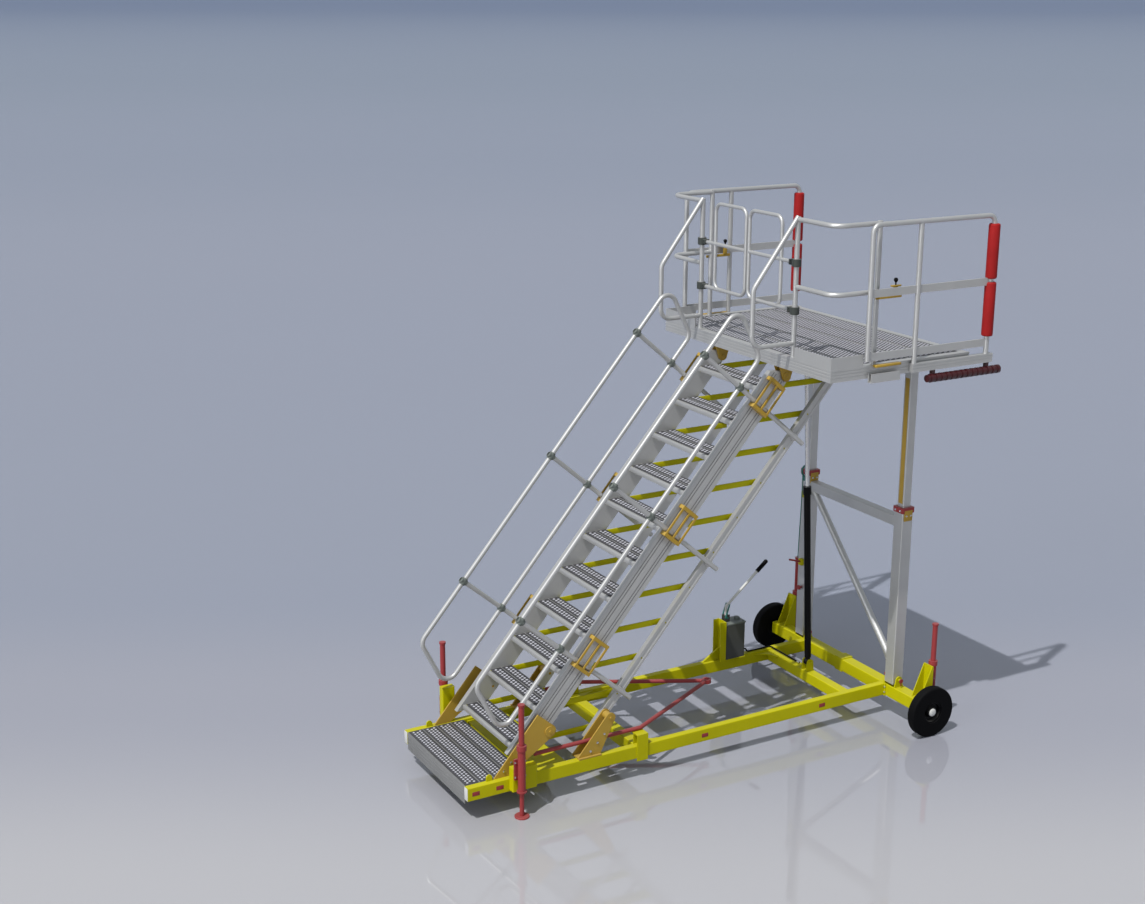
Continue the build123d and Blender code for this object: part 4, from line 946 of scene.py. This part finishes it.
class PLATFORM_OT_guard_slides(bpy.types.Operator):
    """Fix the slide bars, latch and knob of both side guards"""
    bl_idname = "platform.guard_slides"
    bl_label = "Guard Slides"
    start: length("Start", "Where the slide bars start, behind the deck's front edge", 0.402)
    run: length("Run", "Length of a slide bar", 0.243)

    def execute(self, context):
        deck_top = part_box("deck_grating")[1].z
        edge_low, edge_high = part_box("toe_boards")
        x0 = edge_low.x + self.start
        span = (x0, x0 + self.run)
        mid = deck_top + MID_RISE
        latch_x = x0 + LATCH_AT
        for side in SIDES:
            edge = side * edge_high.y
            bars = Shape()
            edge_bar(bars, span, side, edge, deck_top, FOOT_BAR)
            edge_bar(bars, span, side, edge, mid, MID_BAR)
            cap_span = (latch_x - LATCH_CAP_HALF, latch_x + LATCH_CAP_HALF)
            edge_bar(bars, cap_span, side, edge, mid, LATCH_CAP, EDGE_PLATE)
            plate_span = (latch_x - LATCH_PLATE_HALF, latch_x + LATCH_PLATE_HALF)
            edge_bar(bars, plate_span, side, edge, mid, LATCH_PLATE)
            bars.done("guard_slides_" + SIDE_NAMES[side], "orange_paint", "platform", "orange_paint")
            knob = Shape()
            stem = Vector((latch_x, edge - side * STEM_IN, mid + STEM_RISE))
            knob.rod(stem, stem + SQUARE[2] * STEM_H, STEM_R)
            knob.lathe(stem, (0, 0, 1), KNOB_BALL, sides=24)
            knob.done("guard_knob_" + SIDE_NAMES[side], "rubber", "platform", "rubber")
        return {"FINISHED"}


# Wheels: the boss in shares of the hub's width, the cap in distances past it, each with a radius
RIM_PLAY = 0.0006
RIM_LIP = 0.012
RIM_SLOPE = 0.018
DISH_SHORT = 0.014
BOSS = ((0.44, 0.054), (0.9, 0.046), (1.0, 0.042), (1.0, 0.0))
HUB_CAP = ((0.0, 0.034), (0.006, 0.033), (0.011, 0.027), (0.0135, 0.015), (0.014, 0.0))
NUT = 0.008
NUT_SEAT = 0.46


class PLATFORM_OT_wheels(bpy.types.Operator):
    """Turn dished hubs with wheel nuts and a pale centre cap"""
    bl_idname = "platform.wheels"
    bl_label = "Wheels"
    nuts: bpy.props.IntProperty(name="Wheel nuts", description="Nuts on one wheel", default=5, min=0)
    nut_circle: length("Nut circle", "Radius on which the nuts sit", 0.064)

    def execute(self, context):
        for side in SIDES:
            name = SIDE_NAMES[side]
            wheel = "wheel_" + name
            outward = (0, side, 0)
            centre = JOINT_AT[wheel + "_spin"]
            low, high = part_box("hub_" + name)
            rim = (high.x - low.x) / 2 - RIM_PLAY
            inner = high.y if side == NEAR else low.y
            base = Vector((centre.x, inner, centre.z))
            wide = abs(high.y - low.y) - DISH_SHORT
            dish = [(0.0, 0.0), (0.0, rim - EDGE_PLATE), (EDGE_PLATE, rim), (wide - EDGE_PLATE, rim)]
            dish += [(wide, rim - EDGE_PLATE), (wide, rim - RIM_LIP), (wide / 2, rim - RIM_SLOPE)]
            dish += [(wide * along, radius) for along, radius in BOSS]
            hub = Shape().lathe(base, outward, dish, sides=48)
            for k in range(self.nuts):
                turn = math.tau * k / self.nuts
                spoke = Vector((math.cos(turn), 0.0, math.sin(turn))) * self.nut_circle
                hub.bolt(base + spoke + ACROSS * side * wide * NUT_SEAT, outward, NUT)
            hub.done("hub_%s_dish" % name, "black_paint", wheel, "black_paint", ("hub_" + name,))
            dome = [(wide + along, radius) for along, radius in HUB_CAP]
            cap = Shape().lathe(base, outward, dome, sides=36)
            cap.done("hub_%s_cap" % name, "white_paint", wheel, "aluminium")
        return {"FINISHED"}


# Bolts and plates of the base: the bolts of a foot have its node, outer face and first inset
FLANGE_T = 0.010
FLANGE_BOLTS_Y = (0.516, 0.594)
FLANGE_BOLTS_Z = (0.205, 0.252)
FOOT_BOLTS = (("stringer_feet", 0.542, 0.085), ("link_feet", 0.565, 0.11))
FOOT_BOLT_COUNT = 3
FOOT_BOLT_STEP = (0.062, 0.060)
FOOT_BOLT_RISE = 0.045
JACK_BOLTS_Z = (0.325, 0.445)
JACK_BOLTS_ACROSS = (-0.040, 0.040)
JACK_BOLT_BACK = 0.024
FRAME_BOLT_SHARE = 0.8
JACK_BOLT_SHARE = 0.75
NEAR_FACE = -0.585
PLATES_X = (-2.152, -1.951, -0.094, 1.090)
PLATE_Z = 0.227
PLATE_PROUD = 0.0012
PLATE_EDGE = 0.0005


class PLATFORM_OT_base_hardware(bpy.types.Operator):
    """Set bolts on flanges, jacks and feet, and blank plates on the near rail"""
    bl_idname = "platform.base_hardware"
    bl_label = "Base Hardware"
    bolt: length("Bolt", "Radius of a hexagon head", 0.010)
    plate_l: length("Plate length", "Length of a blank plate", 0.062)
    plate_h: length("Plate height", "Height of a blank plate", 0.034)

    def execute(self, context):
        bolts = Shape()
        frame_bolt, jack_bolt = self.bolt * FRAME_BOLT_SHARE, self.bolt * JACK_BOLT_SHARE
        flange_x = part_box("side_rails")[1].x - FLANGE_T
        for side in SIDES:
            for y in FLANGE_BOLTS_Y:
                for z in FLANGE_BOLTS_Z:
                    bolts.bolt((flange_x, side * y, z), (-1, 0, 0), frame_bolt)
            for node, outer, inset in FOOT_BOLTS:
                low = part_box(node)[0]
                start = low.x + inset
                for k in range(FOOT_BOLT_COUNT):
                    z = low.z + FOOT_BOLT_RISE + FOOT_BOLT_STEP[1] * k
                    bolts.bolt((start + FOOT_BOLT_STEP[0] * k, side * outer, z), (0, side, 0), frame_bolt)
        for corner in ("front_near", "front_far", "rear_near", "rear_far"):
            low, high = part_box("jack_leg_" + corner)
            x, y = (low.x + high.x) / 2, (low.y + high.y) / 2
            for z in JACK_BOLTS_Z:
                for across in JACK_BOLTS_ACROSS:
                    if "front" in corner:
                        side = math.copysign(1.0, y)
                        bolts.bolt((x + across, y - side * JACK_BOLT_BACK, z), (0, side, 0), jack_bolt)
                    else:
                        bolts.bolt((x - JACK_BOLT_BACK, y + across, z), (1, 0, 0), jack_bolt)
        bolts.done("base_bolts", "steel", "base", "steel")
        plates = Shape()
        for x in PLATES_X:
            plates.box((x - self.plate_l / 2, NEAR_FACE - PLATE_PROUD, PLATE_Z - self.plate_h / 2),
                       (x + self.plate_l / 2, NEAR_FACE, PLATE_Z + self.plate_h / 2), PLATE_EDGE)
        plates.done("rail_plates", "red_paint", "base", "red_paint")
        return {"FINISHED"}


# Mast
PAD_DROP = 0.022
PAD_SUNK = 0.004
PAD_HALF_T = 0.005
PAD_HALF_H = 0.046
PAD_SCREW = 0.007
PAD_SCREW_SHIFT = 0.022
COLLAR_SCREW = 0.008
COLLAR_SCREW_RISE = 0.020
COLLAR_SCREW_SHIFT = 0.030
CLIP_OUT = 0.098
CLIP_WASHER = ((-0.004, 0.0), (-0.004, 0.019), (0.004, 0.019), (0.004, 0.0))
CLIP_TAIL_HALF = (0.004, 0.003)
CLIP_TAIL_DROPS = (0.045, 0.015)
STRIPE_HALF = 0.026
STRIPE_PROUD = 0.0002
STRIPE_SUNK = 0.001
STRIPE_EDGE = 0.0001
STRIPE_RISE = 0.03
STRIPE_SHORT = 0.16

# Lock on the far mast: pairs are the reach ahead of the mast's front face and the height;
# a block has its reach, its half width and its lower and upper heights
LOCK_IN = 0.010
CATCH = (0.030, 0.020, 1.790, 1.835)
CATCH_HOOK = ((0.020, 1.83), (0.045, 1.86), (0.048, 1.90), (0.02, 1.93))
CATCH_HOOK_R = 0.009
PULL_ROD = ((0.034, 1.80), (0.055, 1.06))
PULL_ROD_R = 0.004
LOCK_BLOCKS = ((0.026, 0.026, 1.63, 1.69), (0.030, 0.022, 0.985, 1.045))
LOCK_LEVER = ((0.020, 1.020), (0.150, 1.060))
LOCK_LEVER_R = 0.009
LOCK_KNOB_Z = 0.77
LOCK_KNOB = ((0.0, 0.012), (0.02, 0.012), (0.024, 0.022), (0.04, 0.020), (0.045, 0.0))


class PLATFORM_OT_mast_trim(bpy.types.Operator):
    """Add the collar pads, the guide stripe, the foot clips and the far mast's lock"""
    bl_idname = "platform.mast_trim"
    bl_label = "Mast Trim"
    pad: length("Pad", "Half width of a guide pad", 0.042)

    def execute(self, context):
        low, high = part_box("mast_collars")
        x_mid = (low.x + high.x) / 2
        half = (high.x - low.x) / 2
        mast_y = high.y - half
        self.add_pads(x_mid, mast_y, half, low.z)
        self.add_clips(x_mid, mast_y)
        self.add_screws(x_mid, mast_y, half, low.z)
        self.add_stripe(mast_y, high.z + STRIPE_RISE)
        self.add_lock(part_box("mast_posts")[0].x, mast_y - LOCK_IN)
        return {"FINISHED"}

    def add_pads(self, x_mid, mast_y, half, collar_z):
        """Guide pads below the collars."""
        pads = Shape()
        along, _, up = SQUARE
        for side in SIDES:
            for axis in (ACROSS, -ACROSS):
                at = Vector((x_mid, side * mast_y, collar_z - PAD_DROP)) + axis * (half - PAD_SUNK)
                pads.block(at, (PAD_HALF_T, self.pad, PAD_HALF_H), (axis, along, up), EDGE_PLATE)
        pads.done("mast_pads", "orange_paint", "mast_outer", "orange_paint")

    def add_screws(self, x_mid, mast_y, half, collar_z):
        """Screws of the pads and of the collars."""
        screws = Shape()
        along = SQUARE[0]
        for side in SIDES:
            y = side * mast_y
            for axis in (ACROSS, -ACROSS):
                at = Vector((x_mid, y, collar_z - PAD_DROP)) + axis * (half - PAD_SUNK)
                for shift in (-PAD_SCREW_SHIFT, PAD_SCREW_SHIFT):
                    screws.bolt(at + axis * PAD_HALF_T + along * shift, axis, PAD_SCREW)
            for axis in (along, -along):
                for shift in (-COLLAR_SCREW_SHIFT, COLLAR_SCREW_SHIFT):
                    seat = Vector((x_mid, y + shift, collar_z + COLLAR_SCREW_RISE)) + axis * half
                    screws.bolt(seat, axis, COLLAR_SCREW)
        screws.done("mast_screws", "steel", "mast_outer", "steel")

    def add_clips(self, x_mid, mast_y):
        """Washers and split tails at both ends of the mast's foot pins."""
        pin_z = JOINT_AT["mast_tilt"].z
        half_x, half_y = CLIP_TAIL_HALF
        low_z, high_z = (pin_z - drop for drop in CLIP_TAIL_DROPS)
        clips = Shape()
        for side in SIDES:
            for out in (mast_y - CLIP_OUT, mast_y + CLIP_OUT):
                y = side * out
                clips.lathe((x_mid, y, pin_z), (0, side, 0), CLIP_WASHER, sides=20)
                clips.box((x_mid - half_x, y - half_y, low_z),
                          (x_mid + half_x, y + half_y, high_z), EDGE_CRISP)
        clips.done("mast_pin_clips", "red_paint", "base", "red_paint")

    def add_stripe(self, mast_y, start_z):
        """Painted guide stripe up the front of the near inner post."""
        low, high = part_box("mast_inner")
        stripe = Shape()
        stripe.box((low.x - STRIPE_PROUD, -mast_y - STRIPE_HALF, start_z),
                   (low.x + STRIPE_SUNK, -mast_y + STRIPE_HALF, high.z - STRIPE_SHORT), STRIPE_EDGE)
        stripe.done("mast_stripe", "orange_paint", "mast_inner", "orange_paint")

    def add_lock(self, face_x, y):
        """Catch, pull rod and hand lever on the front of the far mast."""
        def ahead(pairs):
            return [(face_x - reach, y, z) for reach, z in pairs]

        def add_block(shape, reach, half, z0, z1):
            shape.box((face_x - reach, y - half, z0), (face_x, y + half, z1), EDGE_SOFT)

        catch = Shape()
        add_block(catch, *CATCH)
        catch.tube(ahead(CATCH_HOOK), CATCH_HOOK_R)
        catch.done("lock_catch", "teal_paint", "mast_outer", "grey_paint")
        rods = Shape()
        rods.rod(*ahead(PULL_ROD), PULL_ROD_R, sides=10)
        rods.done("lock_rod", "teal_paint", "mast_outer", "grey_paint")
        blocks = Shape()
        for block in LOCK_BLOCKS:
            add_block(blocks, *block)
        blocks.done("lock_blocks", "yellow_paint", "mast_outer", "yellow_paint")
        lever = Shape()
        lever.rod(*ahead(LOCK_LEVER), LOCK_LEVER_R)
        lever.lathe((face_x, y, LOCK_KNOB_Z), (-1, 0, 0), LOCK_KNOB, sides=24)
        lever.done("lock_lever", "red_paint", "mast_outer", "red_paint")


# Pump: turned profiles are pairs of distance along and radius
LID_PROUD = 0.002
LID_HEIGHTS = (-0.012, 0.004)
LID_BOLT = 0.006
LID_BOLTS_X = (0.02, 0.19)
LID_BOLT_OUT = 0.060
FILLER_RISE = 0.006
FILLER = ((0.0, 0.026), (0.014, 0.026), (0.020, 0.023), (0.026, 0.012), (0.026, 0.0))
LINK_OUT = 0.026
LINK_R = 0.007
LINK_FOOT = (-0.022, 0.045)
LINK_HEAD = (0.020, 0.020)
PIVOT_OUT = 0.021
PIVOT_BOLT = 0.009
GRIP_RINGS = 9
GRIP_LEAD = 0.25
GRIP_START_R = 0.0172
GRIP_RING = ((0.0, 0.0178), (0.002, 0.0195), (0.007, 0.0195), (0.009, 0.0178))
GRIP_END = ((0.004, 0.017), (0.010, 0.010), (0.011, 0.0))
HOSE_R = 0.007
HOSE_BORE = 0.0071
HOSE_NUT_R = 0.011
HOSE_NUT_L = 0.030


class PLATFORM_OT_pump_trim(bpy.types.Operator):
    """Dress the hand pump: lid, links, pivot bolts, grip and hose ends"""
    bl_idname = "platform.pump_trim"
    bl_label = "Pump Trim"
    clevis: length("Clevis", "Height of the clevis above the tank", 0.070)
    back: length("Lever set back", "From the tank's middle to the lever", 0.060)
    rise: length("Lever rise", "Height of the lever's elbow above the tank", 0.150)
    run: length("Lever run", "Level reach of the lever", 0.420)
    lift: length("Lever lift", "Height that the lever gains", 0.350)
    grip: length("Grip", "Length of the rubber grip", 0.130)

    def execute(self, context):
        low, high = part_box("pump_tank")
        x, y = (low.x + high.x) / 2, (low.y + high.y) / 2
        top = high.z - self.clevis
        lever_x = x - self.back
        lid_low, lid_high = (top + rise for rise in LID_HEIGHTS)
        lid = Shape()
        lid.box((low.x, low.y - LID_PROUD, lid_low),
                (high.x + LID_PROUD, high.y + LID_PROUD, lid_high), EDGE_ROUND)
        for dx in LID_BOLTS_X:
            for side in SIDES:
                lid.bolt((low.x + dx, y + side * LID_BOLT_OUT, lid_high), (0, 0, 1), LID_BOLT)
        lid.lathe((x + self.back, y, top + FILLER_RISE), (0, 0, 1), FILLER)
        lid.done("pump_lid", "fitting", "base", "grey_paint")
        links = Shape()
        pivot_z = top + LINK_FOOT[1]
        for side in SIDES:
            out = y + side * LINK_OUT
            head = (lever_x + LINK_HEAD[0], out, top + self.rise + LINK_HEAD[1])
            links.rod((lever_x + LINK_FOOT[0], out, pivot_z), head, LINK_R, sides=14)
            links.bolt((lever_x, y + side * PIVOT_OUT, pivot_z), (0, side, 0), PIVOT_BOLT)
        links.done("pump_links", "teal_paint", "base", "grey_paint")
        self.add_grip(Vector((lever_x, y, top + self.rise)))
        self.add_hose_ends()
        return {"FINISHED"}

    def add_grip(self, elbow):
        """Ringed rubber grip on the end of the lever."""
        way = Vector((self.run, 0.0, self.lift))
        start = elbow + way - way.normalized() * self.grip
        profile = [(0.0, GRIP_START_R)]
        for k in range(GRIP_RINGS):
            at = self.grip * (k + GRIP_LEAD) / GRIP_RINGS
            profile += [(at + along, radius) for along, radius in GRIP_RING]
        profile += [(self.grip + along, radius) for along, radius in GRIP_END]
        grip = Shape().lathe(start, way, profile, sides=24)
        grip.done("pump_grip", "rubber", "base", "rubber")

    def add_hose_ends(self):
        """Hexagon nuts on both ends of the hose."""
        low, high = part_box("hose")
        port = Vector((low.x, high.y - HOSE_R, high.z - HOSE_R))
        far_end = Vector((high.x - HOSE_R, low.y, low.z + HOSE_R))
        ends = Shape()
        for start, way in ((port, SQUARE[0]), (far_end, ACROSS)):
            ends.sleeve(start, start + way * HOSE_NUT_L, HOSE_BORE, HOSE_NUT_R, EDGE_PLATE, sides=HEX)
        ends.done("hose_ends", "steel", "base", "steel")


# Studio
SKY_TINT = (0.80, 0.86, 0.95, 1.0)
SKY_STRENGTH = 0.46
SENSOR_W = 36.0
VIEW_END = 6000.0

# Heading, strength, spread in degrees and tint
KEY_SUN = ((2.22, 0.97, -4.37), 3.0, 0.7, (1.0, 0.985, 0.96))
FILL_SUN = ((1.0, 0.22, -0.30), 0.85, 30.0, (0.95, 0.97, 1.0))

# Floor tones, painted shade that darkens the floor away from the camera, by the decimal logarithm of the
# distance ahead, in metres
FLOOR_DRIFT = (0.3, 0.3, 0.33)
FLOOR_SHADE_TONES = (
    (1.00, (0.432, 0.428, 0.447)),
    (1.12, (0.301, 0.309, 0.361)),
    (1.20, (0.250, 0.272, 0.339)),
    (1.55, (0.241, 0.264, 0.338)),
    (1.81, (0.205, 0.236, 0.315)),
    (2.10, (0.181, 0.218, 0.291)),
    (2.80, (0.147, 0.181, 0.255)),
)


def floor_material():
    """Pale polished floor with painted shade: its colour darkens towards its far end."""
    material, tree, shader = start_material("studio_floor")
    s = studio()
    heading = Vector((math.sin(s.camera_yaw), math.cos(s.camera_yaw), 0.0))
    ahead = add_node(tree, "ShaderNodeVectorMath", operation="DOT_PRODUCT")
    ahead.inputs[1].default_value = heading
    tree.links.new(object_place(tree), ahead.inputs[0])
    distance = math_node(tree, "SUBTRACT", ahead.outputs["Value"], heading.dot(Vector(s.camera_place)))
    decades = math_node(tree, "LOGARITHM", math_node(tree, "MAXIMUM", distance, 1.0), 10.0)
    first, last = FLOOR_SHADE_TONES[0][0], FLOOR_SHADE_TONES[-1][0]
    reach = add_node(tree, "ShaderNodeMapRange")
    reach.inputs["From Min"].default_value = first
    reach.inputs["From Max"].default_value = last
    tree.links.new(decades, reach.inputs["Value"])
    # This ramp paints the shade: bright close ahead, darker far off.
    ramp = add_node(tree, "ShaderNodeValToRGB")
    ramp.color_ramp.interpolation = "EASE"
    stops = ramp.color_ramp.elements
    for _ in FLOOR_SHADE_TONES[2:]:
        stops.new(0.5)
    for stop, (at, tone) in zip(stops, FLOOR_SHADE_TONES):
        stop.position = (at - first) / (last - first)
        stop.color = (*tone, 1.0)
    tree.links.new(reach.outputs[0], ramp.inputs[0])
    grain = place_group(tree, "fine_grain", Broad=0.35, Fine=25.0)
    drift = value_range(tree, grain.outputs["Tone"], low=0.0, high=0.05)
    soft = mix_colour(tree, drift, ramp.outputs[0], FLOOR_DRIFT)
    tree.links.new(soft, shader.inputs["Base Color"])
    gloss = value_range(tree, reach.outputs[0], low=s.floor_gloss, high=0.0)
    tree.links.new(gloss, shader.inputs["Coat Weight"])
    shader.inputs["Coat Roughness"].default_value = 0.03
    shader.inputs["Coat IOR"].default_value = 1.9
    shader.inputs["Roughness"].default_value = 0.75
    shader.inputs["Specular IOR Level"].default_value = 0.0
    return material


def add_sun(name, heading, strength, spread, tint):
    lamp = bpy.data.lights.new(name, "SUN")
    lamp.energy = strength
    lamp.angle = math.radians(spread)
    lamp.color = tint
    holder = bpy.data.objects.new(name, lamp)
    holder.rotation_mode = "QUATERNION"
    holder.rotation_quaternion = Vector(heading).to_track_quat("-Z", "Y")
    bpy.context.scene.collection.objects.link(holder)
    return holder


def link_light(lamp, receiver, state):
    """Light only the receiver, or everything but it."""
    group = bpy.data.collections.new(lamp.name + "_receivers")
    group.objects.link(receiver)
    group.collection_objects[0].light_linking.link_state = state
    lamp.light_linking.receiver_collection = group


class PLATFORM_OT_stage(bpy.types.Operator):
    """Lay the floor, hang the lights and set the camera"""
    bl_idname = "platform.stage"
    bl_label = "Studio"

    def execute(self, context):
        context.scene.view_settings.view_transform = "Standard"
        floor = self.lay_floor(context.scene)
        self.hang_lights(context.scene, floor)
        self.set_camera(context.scene)
        return {"FINISHED"}

    def lay_floor(self, scene):
        mesh = bpy.data.meshes.new("studio_floor")
        half = studio().floor_half
        corners = [(-half, -half, 0), (half, -half, 0), (half, half, 0), (-half, half, 0)]
        mesh.from_pydata(corners, [], [(0, 1, 2, 3)])
        floor = bpy.data.objects.new("studio_floor", mesh)
        scene.collection.objects.link(floor)
        floor.data.materials.append(floor_material())
        return floor

    def hang_lights(self, scene, floor):
        """Sky, a key sun with a twin for the floor that the floor doesn't mirror, and a broad fill."""
        world = bpy.data.worlds.new("studio_sky")
        scene.world = world
        world.use_nodes = True
        sky = world.node_tree.nodes["Background"]
        sky.inputs["Color"].default_value = SKY_TINT
        sky.inputs["Strength"].default_value = SKY_STRENGTH
        link_light(add_sun("key_sun", *KEY_SUN), floor, "EXCLUDE")
        floor_sun = add_sun("floor_sun", *KEY_SUN)
        floor_sun.visible_glossy = False
        link_light(floor_sun, floor, "INCLUDE")
        add_sun("left_fill", *FILL_SUN)

    def set_camera(self, scene):
        s = studio()
        camera = bpy.data.cameras.new("photo_camera")
        camera.sensor_width = SENSOR_W
        camera.sensor_fit = "HORIZONTAL"
        camera.lens = s.lens
        camera.clip_end = VIEW_END
        holder = bpy.data.objects.new("photo_camera", camera)
        level = math.cos(s.camera_pitch)
        east, north = math.sin(s.camera_yaw) * level, math.cos(s.camera_yaw) * level
        ahead = Vector((east, north, -math.sin(s.camera_pitch)))
        turn = ahead.to_track_quat("-Z", "Y").to_matrix() @ Matrix.Rotation(s.camera_roll, 3, "Z")
        holder.matrix_world = Matrix.Translation(s.camera_place) @ turn.to_4x4()
        scene.collection.objects.link(holder)
        scene.camera = holder


STEPS = (
    PLATFORM_OT_finish_nodes,
    PLATFORM_OT_treads,
    PLATFORM_OT_deck_planks,
    PLATFORM_OT_landing,
    PLATFORM_OT_foam,
    PLATFORM_OT_stringer_ribs,
    PLATFORM_OT_rail_fittings,
    PLATFORM_OT_gate_clamps,
    PLATFORM_OT_guard_slides,
    PLATFORM_OT_wheels,
    PLATFORM_OT_base_hardware,
    PLATFORM_OT_mast_trim,
    PLATFORM_OT_pump_trim,
    PLATFORM_OT_stage,
)


class PLATFORM_PT_sidebar(bpy.types.Panel):
    """Lists the steps that dress the platform"""
    bl_idname = "PLATFORM_PT_sidebar"
    bl_label = "Access Platform"
    bl_space_type = "VIEW_3D"
    bl_region_type = "UI"
    bl_category = "Platform"

    def draw(self, context):
        for step in STEPS:
            self.layout.operator(step.bl_idname)
        for settings in (context.scene.platform_finishes, context.scene.platform_studio):
            box = self.layout.box()
            for key in settings.__annotations__:
                box.prop(settings, key)


CLASSES = (PlatformFinishes, PlatformStudio, *STEPS, PLATFORM_PT_sidebar)


def register():
    for cls in CLASSES:
        bpy.utils.register_class(cls)
    bpy.types.Scene.platform_finishes = bpy.props.PointerProperty(type=PlatformFinishes)
    bpy.types.Scene.platform_studio = bpy.props.PointerProperty(type=PlatformStudio)


def unregister():
    del bpy.types.Scene.platform_finishes
    del bpy.types.Scene.platform_studio
    for cls in reversed(CLASSES):
        bpy.utils.unregister_class(cls)


def main():
    register()
    for step in STEPS:
        group, call = step.bl_idname.split(".")
        getattr(getattr(bpy.ops, group), call)()


if __name__ == "__main__":
    main()
